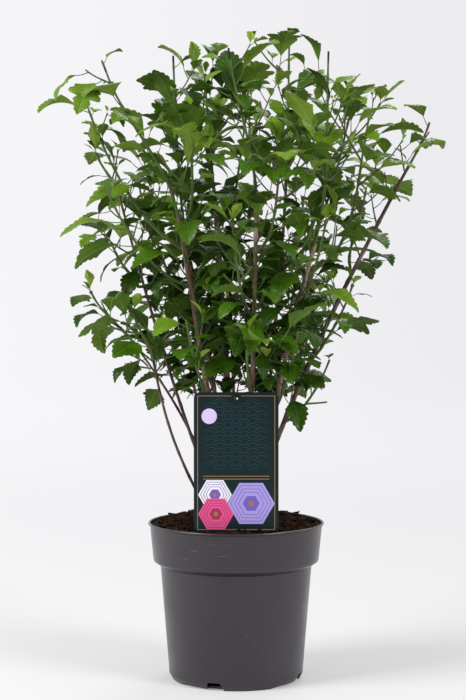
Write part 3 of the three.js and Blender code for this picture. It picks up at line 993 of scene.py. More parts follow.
    def grow_spur(
        self, spurs: Spurs, sprays: dict[str, Spray], draw: Draw, seat: tuple[Row, Row, float]
    ) -> None:
        """Grows one spur.

        Args:
            spurs: How spurs grow.
            sprays: The masses, by name.
            draw: Source of the random numbers.
            seat: Point on the cane, the cane's direction there and turn round it.
        """
        point, tangent, turn = seat
        lead = unit(sideways(tangent, turn) + tangent * spurs.lean)
        reach = draw.between(spurs.length)
        tip = point + lead * reach + UP * reach * self.rule.side_lift
        path = self.shoot_path(point, lead, tip, self.rule.side_steps)
        near = segment_distances(tip[None, :], self.lead_starts, self.lead_ends)[0]
        spray = sprays[self.names[int(near.argmin()) // self.rule.lead_steps]]
        if not self.fullness.holds(tip) and draw.next() > self.fullness.twigs_beyond:
            return
        twig = Twig(path, spurs.radius)
        count = len(spray.leaves)
        if self.dress(spray, draw, twig, spurs.dress):
            spray.twigs.append(twig)
            for leaf in spray.leaves[count:]:
                leaf.tone = self.tone_of(leaf, draw)

    def trim(self, leaf: Leaf, size: float) -> None:
        """Makes a leaf smaller about the joint of its petiole, and flatter by as much.

        Args:
            leaf: The leaf.
            size: New length, of the old.
        """
        leaf.length *= size
        leaf.droop *= size
        leaf.base = leaf.root + (leaf.base - leaf.root) * size

    def grow_finer(self, spray: Spray, draw: Draw, lead: Twig, sides: list[Twig]) -> None:
        """Adds finer twigs, small leaves at the nodes and young leaves at the tips.

        Args:
            spray: What they are added to.
            draw: Source of the random numbers.
            lead: The leading shoot.
            sides: Its side twigs.
        """
        self.branch(spray, draw, lead, FINE_BRANCHING, FINE_DRESS)
        for side in sides:
            self.branch(spray, draw, side, SUB_BRANCHING, SUB_DRESS)
        for twig in [lead, *sides]:
            self.dress(spray, draw, twig, AXIL_DRESS)
        for leaf in spray.leaves:
            leaf.tone = self.tone_of(leaf, draw)
        for twig in spray.twigs:
            if not twig.cut and draw.next() < TIP_CHANCE:
                self.add_tip(spray, draw, twig, TipCluster())

    def add_tip(self, spray: Spray, draw: Draw, twig: Twig, cluster: TipCluster) -> None:
        """Adds the young leaves at the growing tip of a shoot.

        Args:
            spray: What they are added to.
            draw: Source of the random numbers.
            twig: The shoot.
            cluster: How they stand.
        """
        point, tangent = on_path(twig.path, 1.0)
        turn = draw.between((0, FULL_TURN))
        scale = draw.between(cluster.scale)
        for k in range(cluster.count):
            turn += GOLDEN
            length = mix(*cluster.sizes, k / (cluster.count - 1)) * scale
            lean = cluster.lean * (1 + k / cluster.count)
            forward = unit(sideways(tangent, turn) + tangent * lean)
            right = unit(np.cross(forward, UP + ASIDE * 0.1))
            base = point + forward * length * self.rule.petiole * cluster.petiole
            droop = draw.between(cluster.droop)
            leaf = Leaf(point, base, forward, right, length, droop, Tone.YOUNG, cluster.fold, twig)
            if k < 2:
                leaf.tone = Tone.FRESH
            if self.crown.holds(leaf.points([(1, 0), (leaf.MIDDLE, 0)]) + UP * cluster.headroom):
                spray.leaves.append(leaf)

    def tone_of(self, leaf: Leaf, draw: Draw) -> Tone:
        """Deals out a leaf's kind: paler where the crown is open, deeper inside it, partly by age and partly
        as painted light and painted shade.

        Args:
            leaf: The leaf.
            draw: Source of the random numbers.

        Returns:
            Its kind.
        """
        # painted light and shade: leaves at the crown's top and outside are made paler, those inside darker
        chance = TONING.openness(leaf.middle()) + draw.between(TONING.chance)
        if chance < TONING.deep:
            return Tone.DEEP
        return Tone.GREEN if chance < TONING.green else Tone.FRESH


# ---------------------------------------------------------------- node trees


class Kind(Enum):
    """Socket types of a node tree's inputs."""

    NUMBER = "NodeSocketFloat"
    COUNT = "NodeSocketInt"
    OBJECT = "NodeSocketObject"
    MATERIAL = "NodeSocketMaterial"


class Wiring:
    """Short ways to add and join the nodes of a tree."""

    def __init__(self, tree: bpy.types.NodeTree) -> None:
        """Takes the tree to work on."""
        self.tree = tree

    def feed(self, socket: Socket, value: object) -> None:
        """Gives an input a value, or links it to an output.

        Args:
            socket: The input.
            value: The value or output.
        """
        if isinstance(value, Socket):
            self.tree.links.new(value, socket)
        else:
            socket.default_value = value

    def add(self, kind: str, inputs: dict | None = None, **settings: object) -> bpy.types.Node:
        """Adds a node.

        Args:
            kind: Its type.
            inputs: Values or outputs for its inputs, by name or place.
            **settings: Its own settings.

        Returns:
            The node.
        """
        node = self.tree.nodes.new(kind)
        for key, value in settings.items():
            setattr(node, key, value)
        for key, value in (inputs or {}).items():
            self.feed(node.inputs[key], value)
        return node

    def math(self, operation: str, *values: object) -> Socket:
        """Returns the result of a sum on numbers."""
        return self.add("ShaderNodeMath", dict(enumerate(values)), operation=operation).outputs[0]

    def times(self, a: object, b: object) -> Socket:
        """Returns the product of two numbers."""
        return self.math("MULTIPLY", a, b)

    def plus(self, a: object, b: object) -> Socket:
        """Returns the sum of two numbers."""
        return self.math("ADD", a, b)

    def minus(self, a: object, b: object) -> Socket:
        """Returns the difference of two numbers."""
        return self.math("SUBTRACT", a, b)

    def vector(self, operation: str, *values: object) -> Socket:
        """Returns the vector that a sum on vectors gives."""
        return self.add("ShaderNodeVectorMath", dict(enumerate(values)), operation=operation).outputs[0]

    def scale(self, vector: object, factor: object) -> Socket:
        """Returns a vector times a number."""
        node = self.add("ShaderNodeVectorMath", {0: vector, "Scale": factor}, operation="SCALE")
        return node.outputs[0]

    def length(self, vector: Socket) -> Socket:
        """Returns the length of a vector."""
        return self.add("ShaderNodeVectorMath", {0: vector}, operation="LENGTH").outputs["Value"]

    def add_up(self, *vectors: Socket) -> Socket:
        """Adds vectors.

        Args:
            *vectors: The vectors.

        Returns:
            Their sum.
        """
        total = vectors[0]
        for vector in vectors[1:]:
            total = self.vector("ADD", total, vector)
        return total

    def spread(
        self, value: object, low: float, high: float, to_low: float, to_high: float, smooth: bool = False
    ) -> Socket:
        """Returns a value moved from one range to another, and held inside it.

        Args:
            value: The number.
            low: Start of its own range.
            high: End of its own range.
            to_low: What the start becomes.
            to_high: What the end becomes.
            smooth: Whether it sets off and arrives gently.

        Returns:
            The moved value.
        """
        inputs = {"Value": value, "From Min": low, "From Max": high, "To Min": to_low, "To Max": to_high}
        course = "SMOOTHSTEP" if smooth else "LINEAR"
        return self.add("ShaderNodeMapRange", inputs, interpolation_type=course).outputs[0]


class GeometryTree(Wiring):
    """A Geometry Nodes tree with named inputs, and the way to run it on a mesh."""

    def __init__(self, name: str, inputs: dict[str, Kind]) -> None:
        """Starts a tree with a geometry and the named inputs.

        Args:
            name: Of the tree.
            inputs: Its inputs and their types.
        """
        super().__init__(bpy.data.node_groups.new(name, "GeometryNodeTree"))
        face = self.tree.interface
        face.new_socket(name="Geometry", in_out="INPUT", socket_type="NodeSocketGeometry")
        for label, kind in inputs.items():
            face.new_socket(name=label, in_out="INPUT", socket_type=kind.value)
        face.new_socket(name="Geometry", in_out="OUTPUT", socket_type="NodeSocketGeometry")
        self.start = self.tree.nodes.new("NodeGroupInput")
        self.end = self.tree.nodes.new("NodeGroupOutput")

    def input(self, name: str) -> Socket:
        """Returns one of the tree's inputs."""
        return self.start.outputs[name]

    def attribute(self, name: str, kind: str = "FLOAT") -> Socket:
        """Returns a named attribute."""
        node = self.add("GeometryNodeInputNamedAttribute", {"Name": name}, data_type=kind)
        return next(socket for socket in node.outputs if socket.enabled)

    def through(self, kind: str, geometry: Socket, inputs: dict | None = None, **settings: object) -> Socket:
        """Passes a geometry through a new node.

        Args:
            kind: Type of the node.
            geometry: What goes in.
            inputs: Values or outputs for its other inputs.
            **settings: Its own settings.

        Returns:
            What comes out.
        """
        node = self.add(kind, inputs, **settings)
        first = next(socket for socket in node.inputs if socket.type == "GEOMETRY")
        self.feed(first, geometry)
        return node.outputs[0]

    def random(self, kind: str, low: object, high: object, seed: object) -> Socket:
        """Adds a random number or vector between two limits.

        Args:
            kind: Type of the value.
            low: One limit.
            high: The other.
            seed: Sets the random numbers.

        Returns:
            A value for each point.
        """
        node = self.add("FunctionNodeRandomValue", data_type=kind)
        enabled = [socket for socket in node.inputs if socket.enabled]
        for socket, value in zip(enabled, (low, high)):
            self.feed(socket, value)
        self.feed(node.inputs["Seed"], seed)
        return next(socket for socket in node.outputs if socket.enabled)

    def finish(self, geometry: Socket) -> None:
        """Gives the tree its result."""
        self.feed(self.end.inputs[0], geometry)

    def run(self, name: str, mesh: Mesh, values: dict[str, object]) -> Object:
        """Runs the tree on a mesh.

        Args:
            name: Of the new object.
            mesh: What the tree starts from.
            values: The tree's inputs, by name.

        Returns:
            An object with the result as a plain mesh.
        """
        source = link(bpy.data.objects.new(f"{name}_source", mesh))
        modifier = source.modifiers.new("tree", "NODES")
        modifier.node_group = self.tree
        for item in self.tree.interface.items_tree:
            if item.in_out == "INPUT" and item.name in values:
                modifier[item.identifier] = values[item.name]
        result = settled(source)
        source.modifiers.remove(modifier)
        bpy.data.objects.remove(source)
        result.name = name
        return link(bpy.data.objects.new(name, result))


# ---------------------------------------------------------------- finishes


class Look(Wiring):
    """The nodes of one material, and the surface that they feed."""

    def __init__(self, material: bpy.types.Material) -> None:
        """Takes a material that uses nodes."""
        super().__init__(material.node_tree)
        self.shader = material.node_tree.nodes["Principled BSDF"]

    def give(self, name: str, value: object) -> None:
        """Gives the surface's own input a constant, or links it to an output."""
        self.feed(self.shader.inputs[name], value)

    def place(self, stretch: Triple = (1, 1, 1)) -> Socket:
        """Returns the place on the piece, stretched along its axes."""
        coordinates = self.add("ShaderNodeTexCoord").outputs["Object"]
        return self.add("ShaderNodeMapping", {"Vector": coordinates, "Scale": stretch}).outputs[0]

    def noise(self, place: Socket, scale: float, detail: float = 3) -> Socket:
        """Returns a noise from 0 to 1 at some scale, in features a metre."""
        inputs = {"Vector": place, "Scale": scale, "Detail": detail}
        return self.add("ShaderNodeTexNoise", inputs).outputs[0]

    def blend(self, factor: Socket, a: object, b: object) -> Socket:
        """Blends two colours.

        Args:
            factor: From 0, the first colour, to 1, the second.
            a: The first colour.
            b: The second.

        Returns:
            The colour between them.
        """
        node = self.add("ShaderNodeMix", data_type="RGBA")
        self.feed(node.inputs["Factor"], factor)
        self.feed(node.inputs[6], a if isinstance(a, Socket) else (*a, 1))
        self.feed(node.inputs[7], b if isinstance(b, Socket) else (*b, 1))
        return node.outputs[2]

    def bump(self, height: Socket, depth: float, strength: float = 1.0) -> None:
        """Gives the surface small relief.

        Args:
            height: From 0 to 1.
            depth: In metres, below 0 where the height is sunk.
            strength: Share of the relief that shows.
        """
        inputs = {"Height": height, "Distance": abs(depth), "Strength": strength}
        self.give("Normal", self.add("ShaderNodeBump", inputs, invert=depth < 0).outputs[0])


@dataclass(frozen=True)
class Finish:
    """A surface finish: its name, main colour (linear light) and roughness."""

    name: str
    colour: Triple
    roughness: float
    specular: float = 0.25

    @cache
    def material(self) -> bpy.types.Material:
        """Returns the finish's material, made once."""
        material = bpy.data.materials.new(self.name)
        material.use_nodes = True
        look = Look(material)
        look.give("Base Color", (*self.colour, 1))
        look.give("Roughness", self.roughness)
        look.give("Specular IOR Level", self.specular)
        self.wire(look)
        return material

    def wire(self, look: Look) -> None:
        """Adds what is special to the finish."""


def shaded(colour: Triple, factor: float) -> Triple:
    """Returns a colour made lighter or darker by a factor."""
    return tuple(channel * factor for channel in colour)


@dataclass(frozen=True)
class PotPlastic(Finish):
    """Moulded grey-brown plastic: fine grain, faint upright streaks, scuffs and dust."""

    scuff: Triple = (0.11, 0.1, 0.105)

    def wire(self, look: Look) -> None:
        """Adds streaks, scuffs and grain.

        Args:
            look: The material's nodes.
        """
        even = look.place()
        streaks = look.noise(look.place((1, 1, 0.12)), 55, 2)
        colour = look.blend(streaks, shaded(self.colour, 0.93), shaded(self.colour, 1.08))
        scratches = look.noise(look.place((0.28, 0.28, 4)), 130, 4)
        patches = look.noise(even, 14, 1)
        scratched = look.spread(scratches, 0.66, 0.72, 0, 1)
        mask = look.times(scratched, look.spread(patches, 0.55, 0.68, 0, 1))
        colour = look.blend(look.times(mask, 0.75), colour, self.scuff)
        dust = look.spread(look.noise(even, 900, 1), 0.73, 0.78, 0, 0.35)
        look.give("Base Color", look.blend(dust, colour, self.scuff))
        wear = look.noise(even, 30, 3)
        worn = look.spread(wear, 0.3, 0.7, self.roughness - 0.05, self.roughness + 0.07)
        look.give("Roughness", worn)
        grain = look.noise(even, 1500, 2)
        look.bump(look.plus(grain, look.times(mask, -2)), 0.00006)


@dataclass(frozen=True)
class PeatSoil(Finish):
    """Damp peat and composted bark: dark, with paler and redder flecks."""

    pale: Triple = (0.048, 0.027, 0.013)
    red: Triple = (0.04, 0.015, 0.006)

    def wire(self, look: Look) -> None:
        """Adds flecks and crumbly relief.

        Args:
            look: The material's nodes.
        """
        even = look.place()
        coarse = look.noise(even, 120, 3)
        fine = look.noise(even, 700, 4)
        colour = look.blend(look.spread(coarse, 0.48, 0.62, 0, 1), self.colour, self.red)
        colour = look.blend(look.spread(fine, 0.56, 0.7, 0, 0.9), colour, self.pale)
        look.give("Base Color", colour)
        look.give("Roughness", look.spread(coarse, 0.35, 0.65, 0.7, self.roughness))
        look.bump(fine, 0.0008)


@dataclass(frozen=True)
class Bark(Finish):
    """Thin woody bark: upright fissures, a warm under-colour and a grey bloom."""

    dark: Triple = (0.13, 0.075, 0.052)
    bloom: Triple = (0.5, 0.39, 0.3)

    def wire(self, look: Look) -> None:
        """Adds fissures, bloom and grain.

        Args:
            look: The material's nodes.
        """
        even = look.place()
        fissures = look.noise(look.place((1, 1, 0.09)), 900, 3)
        patches = look.noise(look.place((1, 1, 0.35)), 70, 3)
        colour = look.blend(look.spread(fissures, 0.38, 0.58, 0, 1), self.dark, self.colour)
        colour = look.blend(look.spread(patches, 0.5, 0.66, 0, 0.75), colour, self.bloom)
        shade = look.spread(look.noise(even, 16, 1), 0.4, 0.62, 0, 0.65)
        look.give("Base Color", look.blend(shade, colour, self.dark))
        look.bump(look.plus(fissures, patches), 0.0003)


@dataclass(frozen=True)
class ShootSkin(Finish):
    """The skin of a green shoot or petiole, redder where the sun falls on it."""

    blush: Triple = (0.11, 0.075, 0.035)

    def wire(self, look: Look) -> None:
        """Adds blush and fine ribs.

        Args:
            look: The material's nodes.
        """
        ribs = look.noise(look.place((1, 1, 0.1)), 1200, 2)
        patches = look.noise(look.place(), 38, 2)
        colour = look.blend(look.spread(patches, 0.45, 0.7, 0, 0.7), self.colour, self.blush)
        colour = look.blend(look.spread(ribs, 0.3, 0.7, 0, 0.3), colour, shaded(self.colour, 0.55))
        look.give("Base Color", colour)
        look.bump(ribs, 0.0001)


@dataclass(frozen=True)
class BladeSkin(Finish):
    """A side of a leaf blade, with its midrib and side veins and a slightly uneven green."""

    vein: Triple = (0.2, 0.3, 0.08)
    relief: float = -0.00035  # veins are sunk on the upper side and raised on the lower
    strength: float = 0.5

    VEINS = 6.5  # side veins to a blade
    SLANT = 0.95

    def wire(self, look: Look) -> None:
        """Adds veins, mottling and a light gloss.

        Args:
            look: The material's nodes.
        """
        blade = look.add("ShaderNodeAttribute", attribute_name="blade").outputs["Vector"]
        parts = look.add("ShaderNodeSeparateXYZ", {0: blade})
        along, out = parts.outputs[0], look.math("ABSOLUTE", parts.outputs[1])
        midrib = look.spread(out, 0.006, 0.022, 1, 0)
        slanted = look.minus(along, look.times(out, self.SLANT))
        wave = look.math("PINGPONG", look.times(slanted, self.VEINS), 0.5)
        side = look.spread(wave, 0.0, 0.09, 1, 0)
        veins = look.math("MAXIMUM", midrib, look.times(side, 0.55))
        even = look.place()
        mottle = look.noise(even, 150, 1)
        drift = look.noise(even, 26, 1)
        colour = look.blend(mottle, shaded(self.colour, 0.8), shaded(self.colour, 1.22))
        dim = look.spread(drift, 0.35, 0.65, 0, 0.5)
        colour = look.blend(dim, colour, shaded(self.colour, 0.7))
        colour = look.blend(look.times(veins, self.strength), colour, self.vein)
        look.give("Base Color", colour)
        rough = look.spread(mottle, 0.3, 0.7, self.roughness - 0.07, self.roughness + 0.07)
        look.give("Roughness", rough)
        puff = look.plus(veins, look.times(mottle, -0.3))
        look.bump(puff, self.relief, 0.8)


@dataclass(frozen=True)
class CardPrint(Finish):
    """Printed and coated card: an even ink with a faint unevenness under a satin coat."""

    coat: float = 0.12

    def wire(self, look: Look) -> None:
        """Adds the ink's unevenness and the coat.

        Args:
            look: The material's nodes.
        """
        even = look.place()
        ink = look.noise(even, 60, 3)
        grain = look.noise(even, 2500, 1)
        mixed = look.plus(look.times(ink, 0.7), look.times(grain, 0.3))
        colour = look.blend(mixed, shaded(self.colour, 0.86), shaded(self.colour, 1.14))
        look.give("Base Color", colour)
        look.give("Coat Weight", self.coat)
        look.give("Coat Roughness", 0.25)
        look.bump(grain, 0.00001)


@dataclass(frozen=True)
class PaleGround(Finish):
    """The plain studio floor, whose far parts glow as if lit from behind like a light table: painted light,
    with painted shade to the right.
    """

    glow: Triple = (0.9, 0.895, 0.92)
    near: float = 0.3  # metres from the middle to where the glow starts to grow
    far: float = 2.6
    least: float = 0.26  # share of the glow in the middle, painted light that lifts the shade there

    def wire(self, look: Look) -> None:
        """Keeps the floor matt and darker to the right, a painted shade, and makes it glow with painted light
        towards the wall, less to the right and front.

        Args:
            look: The material's nodes.
        """
        place = look.place()
        drift = look.noise(place, 0.8, 2)
        x, y, _ = look.add("ShaderNodeSeparateXYZ", {0: place}).outputs
        # painted light: the glow's share grows from the middle out to the wall
        share = look.spread(look.length(place), self.near, self.far, self.least, 1, smooth=True)
        pale = look.blend(drift, shaded(self.colour, 0.985), shaded(self.colour, 1.015))
        # painted shade: the colour and the glow fall off to the right
        side = look.spread(x, -1.0, 1.0, 1.02, 0.93)
        matt = look.scale(look.blend(share, pale, (0.0, 0.0, 0.0)), side)
        look.give("Base Color", matt)
        # painted light: the glow is weaker towards the front
        front = look.spread(y, -3.2, -0.8, 0.34, 1.0)
        glow = look.times(share, look.times(side, front))
        look.give("Emission Strength", glow)
        look.give("Emission Color", (*self.glow, 1))


POT_PLASTIC = PotPlastic("pot_plastic", (0.0108, 0.0045, 0.0112), 0.3, specular=0.76)
SOIL_CRUMB = PeatSoil("potting_soil", (0.008, 0.0036, 0.0019), 0.95, specular=0.06)
CANE_BARK = Bark("cane_bark", (0.37, 0.245, 0.18), 0.82, specular=0.2)
YOUNG_BARK = Bark(
    "young_bark", (0.15, 0.09, 0.075), 0.7, specular=0.2, dark=(0.045, 0.024, 0.022), bloom=(0.26, 0.19, 0.15)
)
SHOOT_SKIN = ShootSkin("shoot_skin", (0.09, 0.15, 0.038), 0.5)
DRY_END = Bark(
    "dry_end", (0.028, 0.024, 0.02), 0.8, specular=0.15, dark=(0.012, 0.01, 0.01), bloom=(0.06, 0.05, 0.04)
)
PETIOLE_SKIN = ShootSkin("petiole_skin", (0.11, 0.19, 0.04), 0.5, blush=(0.1, 0.12, 0.04))


def upper(name: str, colour: Triple, vein: Triple) -> BladeSkin:
    """Returns the finish of an upper side, whose veins are sunk."""
    return BladeSkin(f"leaf_{name}_upper", colour, 0.31, 0.19, vein=vein, relief=-0.0005, strength=0.5)


def under(name: str, colour: Triple, vein: Triple) -> BladeSkin:
    """Returns the finish of an under side, whose veins are raised; its paler colour is partly its own and
    partly painted light shining through the leaf.
    """
    return BladeSkin(f"leaf_{name}_under", colour, 0.62, 0.1, vein=vein, relief=0.0005, strength=0.7)


# Deep to fresh green: partly leaf age, partly painted shade inside the crown and painted light at its top and
# outside.
UPPER = {
    Tone.DEEP: upper("deep", (0.024, 0.069, 0.003), (0.075, 0.15, 0.016)),
    Tone.GREEN: upper("green", (0.052, 0.136, 0.004), (0.13, 0.24, 0.028)),
    Tone.FRESH: upper("fresh", (0.135, 0.255, 0.011), (0.19, 0.32, 0.045)),
    Tone.YOUNG: upper("young", (0.27, 0.38, 0.03), (0.36, 0.46, 0.08)),
}
# Undersides paler than the upper sides: partly their own colour, partly painted light shining through the
# leaf.
UNDER = {
    Tone.DEEP: under("deep", (0.06, 0.113, 0.015), (0.12, 0.19, 0.045)),
    Tone.GREEN: under("green", (0.105, 0.196, 0.022), (0.18, 0.29, 0.07)),
    Tone.FRESH: under("fresh", (0.225, 0.345, 0.045), (0.3, 0.43, 0.11)),
    Tone.YOUNG: under("young", (0.3, 0.4, 0.06), (0.38, 0.46, 0.11)),
}
CARD_TEAL = CardPrint("card_teal", (0.0045, 0.0155, 0.0195), 0.45, specular=0.15)
CARD_TEAL_LINE = CardPrint("card_teal_line", (0.018, 0.055, 0.057), 0.45, specular=0.15)
CARD_GOLD = CardPrint("card_gold", (0.3, 0.17, 0.065), 0.38)
CARD_LILAC = CardPrint("card_lilac", (0.36, 0.29, 0.66), 0.42)
CARD_LILAC_PALE = CardPrint("card_lilac_pale", (0.62, 0.52, 0.8), 0.42)
CARD_LILAC_DEEP = CardPrint("card_lilac_deep", (0.16, 0.1, 0.45), 0.42)
CARD_PINK = CardPrint("card_pink", (0.7, 0.08, 0.25), 0.42)
CARD_PINK_DEEP = CardPrint("card_pink_deep", (0.36, 0.02, 0.08), 0.42)
CARD_WHITE = CardPrint("card_white", (0.78, 0.78, 0.8), 0.42)
STUDIO = PaleGround("studio_floor", (0.78, 0.78, 0.785), 0.9, specular=0.05)


# ---------------------------------------------------------------- pieces


def link(thing: Object) -> Object:
    """Puts an object in the scene and returns it."""
    bpy.context.scene.collection.objects.link(thing)
    return thing


def settled(thing: Object) -> Mesh:
    """Returns an object's mesh with its modifiers and curves worked out."""
    bpy.context.view_layer.update()
    return bpy.data.meshes.new_from_object(thing.evaluated_get(bpy.context.evaluated_depsgraph_get()))


def new_mesh(name: str, points: Iterable, faces: Iterable, smooth: bool = True) -> Mesh:
    """Makes a mesh.

    Args:
        name: Of the mesh.
        points: Its points.
        faces: Numbers of each face's points, anticlockwise from outside.
        smooth: Whether its faces are shaded as one curved surface.

    Returns:
        The mesh.
    """
    mesh = bpy.data.meshes.new(name)
    mesh.from_pydata([tuple(p) for p in points], [], [tuple(f) for f in faces])
    mesh.polygons.foreach_set("use_smooth", [smooth] * len(mesh.polygons))
    mesh.update()
    return mesh


def new_object(name: str, mesh: Mesh, *finishes: Finish) -> Object:
    """Puts a mesh in the scene as an object with its finishes.

    Args:
        name: Of the object.
        mesh: Its mesh.
        *finishes: Its finishes.

    Returns:
        The object.
    """
    for finish in finishes:
        mesh.materials.append(finish.material())
    return link(bpy.data.objects.new(name, mesh))


def seat(piece: Object, slot: str, nodes: Sequence[str]) -> None:
    """Makes a piece part of the model: it rides on the body and stands for its solids.

    Args:
        piece: The piece.
        slot: Not used.
        nodes: The solids that it replaces.
    """
    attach(piece, BODY)
    if nodes:
        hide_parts(*nodes)
    triangles = sum(len(polygon.vertices) - 2 for polygon in piece.data.polygons)
    log.info("%s: %d triangles", piece.name, triangles)


def set_attribute(mesh: Mesh, name: str, values: Sequence, domain: str = "POINT") -> None:
    """Stores a named attribute of vectors, whole numbers or numbers on a mesh.

    Args:
        mesh: The mesh.
        name: Of the attribute.
        values: One for each of its points or faces.
        domain: What they belong to.
    """
    array = np.asarray(values)
    if array.ndim == 2:
        kind, key = "FLOAT_VECTOR", "vector"
    else:
        kind, key = ("INT" if array.dtype.kind == "i" else "FLOAT"), "value"
    kept = array.astype(np.int32 if kind == "INT" else np.float32)
    mesh.attributes.new(name, kind, domain).data.foreach_set(key, kept.ravel())


@dataclass(frozen=True)
class Lathe:
    """A closed ring-shaped solid, turned round the Z axis from a profile."""

    profile: tuple[Pair, ...]  # radius and height, outside up and inside down
    sides: int

    def mesh(self, name: str) -> Mesh:
        """Turns the profile.

        Args:
            name: Of the mesh.

        Returns:
            The mesh, in metres.
        """
        angles = np.linspace(0, FULL_TURN, self.sides, endpoint=False)
        points, rings, faces = [], [], []
        for radius, height in self.profile:
            if radius == 0:
                rings.append([len(points)] * self.sides)
                points.append((0, 0, height * MM))
                continue
            rings.append(list(range(len(points), len(points) + self.sides)))
            points += [(radius * MM * math.cos(a), radius * MM * math.sin(a), height * MM) for a in angles]
        for low, high in zip(rings, rings[1:]):
            for i in range(self.sides):
                j = (i + 1) % self.sides
                corners = list(dict.fromkeys((low[i], low[j], high[j], high[i])))
                if len(corners) > 2:
                    faces.append(corners)
        return new_mesh(name, points, faces)


def arc(centre: Pair, radius: float, start: float, end: float, steps: int) -> list:
    """Returns points of an arc in a plane, its angles in degrees."""
    angles = np.radians(np.linspace(start, end, steps))
    return [(centre[0] + radius * math.cos(a), centre[1] + radius * math.sin(a)) for a in angles]


@dataclass
class Pot:
    """The nursery pot: tapered wall, deep collar with a rolled lip, and four drains at the foot."""

    height: float = 169
    rim_radius: float = 95
    collar_radius: float = 89.3
    collar_foot: float = 127.9
    neck_radius: float = 81.75
    neck_height: float = 122.5
    foot_radius: float = 72.2
    foot_height: float = 5.5
    base_radius: float = 69.3
    wall: float = 1.8
    floor: float = 2.4
    lip: float = 1.3
    sides: int = 180
    drains: int = 4
    first_drain: float = -108.8
    drain_width: float = 15
    drain_height: float = 8.5
    drain_depth: float = 9
    drain_flare: float = 1.4  # width at the foot of a drain, of its width above
    arch_width: float = 40
    arch_rise: float = 2
    arch_depth: float = 5.4
    arch_shift: float = 19  # degrees round from the drain
    sharp: float = 38  # degrees between faces that meet in a sharp edge

    def profile(self) -> tuple[Pair, ...]:
        """Returns the wall's section, from the middle of the underside round to the inside floor."""
        lip = self.lip
        rim = self.rim_radius - lip
        outside = [
            (0, 0.9),
            (self.base_radius - 14, 0.9),
            (self.base_radius - 12, 0),
            (self.base_radius - 0.6, 0),
            (self.base_radius, 0.5),
            (self.foot_radius - 0.9, self.foot_height - 0.9),
            (self.foot_radius - 0.1, self.foot_height + 0.1),
            (self.foot_radius + 0.35, self.foot_height + 1.4),
            (self.foot_radius + 0.75, 16),
            (self.foot_radius + 0.95, 16.35),
            (self.neck_radius - 0.5, self.neck_height - 6),
            (self.neck_radius, self.neck_height),
            (self.neck_radius + 1.6, self.neck_height + 0.9),
            (self.collar_radius - 2.6, self.collar_foot - 1.7),
            (self.collar_radius - 0.8, self.collar_foot - 0.7),
            (self.collar_radius, self.collar_foot + 0.6),
            (self.collar_radius + 0.5, self.collar_foot + 4),
            (rim - 0.7, self.height - 3.4),
            (rim + 0.1, self.height - 2.6),
        ]
        roll = arc((rim, self.height - lip), lip, -50, 200, 12)
        inside = [
            (rim - self.wall + 0.4, self.height - 4),
            (self.collar_radius - self.wall, self.collar_foot + self.wall),
            (self.neck_radius - self.wall, self.neck_height + self.wall),
            (self.foot_radius - self.wall, self.floor + 3),
            (self.foot_radius - self.wall - 3, self.floor),
            (0, self.floor),
        ]
        return tuple(outside + roll + inside)

    def cutter(self, angle: float, width: float, height: float, depth: float) -> Mesh:
        """Returns a drain's cutter: a block with sloped sides and rounded upper corners.

        Args:
            angle: Degrees round the pot.
            width: Across the top.
            height: Over the ground.
            depth: In from the pot's foot.

        Returns:
            The block, in metres.
        """
        angle = math.radians(angle)
        half, round_off = width / 2, min(2.2, height * 0.4)
        outline = [(-half * self.drain_flare, -1), (half * self.drain_flare, -1)]
        outline += arc((half - round_off, height - round_off), round_off, 20, 90, 5)
        outline += arc((-half + round_off, height - round_off), round_off, 90, 160, 5)
        points = []
        for reach in (self.base_radius - depth, self.base_radius + 12):
            for across, up in outline:
                x = reach * math.cos(angle) - across * math.sin(angle)
                y = reach * math.sin(angle) + across * math.cos(angle)
                points.append((x * MM, y * MM, up * MM))
        count = len(outline)
        faces = [tuple(reversed(range(count))), tuple(range(count, 2 * count))]
        faces += [(i, (i + 1) % count, (i + 1) % count + count, i + count) for i in range(count)]
        return new_mesh("drain", points, faces, smooth=False)

    def build(self) -> Object:
        """Builds the pot, drained and finished."""
        pot = new_object("pot_shell", Lathe(self.profile(), self.sides).mesh("pot_shell"), POT_PLASTIC)
        for i in range(self.drains):
            angle = self.first_drain + 360 / self.drains * i
            drain = (angle, self.drain_width, self.drain_height, self.drain_depth)
            arch = (angle - self.arch_shift, self.arch_width, self.arch_rise, self.arch_depth)
            for place in (drain, arch):
                self.cut(pot, self.cutter(*place))
        pot.data.set_sharp_from_angle(angle=math.radians(self.sharp))
        seat(pot, "pot", ["pot"])
        return pot

    @staticmethod
    def cut(pot: Object, cutter: Mesh) -> None:
        """Cuts a block out of the pot for good.

        Args:
            pot: The pot.
            cutter: The block.
        """
        block = new_object("cutter", cutter)
        modifier = pot.modifiers.new("cut", "BOOLEAN")
        modifier.object = block
        modifier.operation = "DIFFERENCE"
        modifier.solver = "EXACT"
        result = settled(pot)
        pot.modifiers.remove(modifier)
        pot.data = result
        bpy.data.objects.remove(block)


@dataclass(frozen=True)
class Crumb:
    """One kind of crumb that is strewn on the soil."""

    share: float  # of the soil's density
    sizes: Pair  # smallest and largest radius, in mm
    stretch: Triple  # its own proportions
    number: int  # sets its seeds apart from the others'

    TILT = 0.5  # radians that it may lean from level


LUMP = Crumb(1.0, (0.9, 2.4), (1.0, 1.0, 0.75), 1)
CHIP = Crumb(0.16, (2.2, 4.8), (2.0, 0.85, 0.42), 2)
FIBRE = Crumb(0.1, (0.6, 1.1), (9.0, 0.8, 0.8), 3)


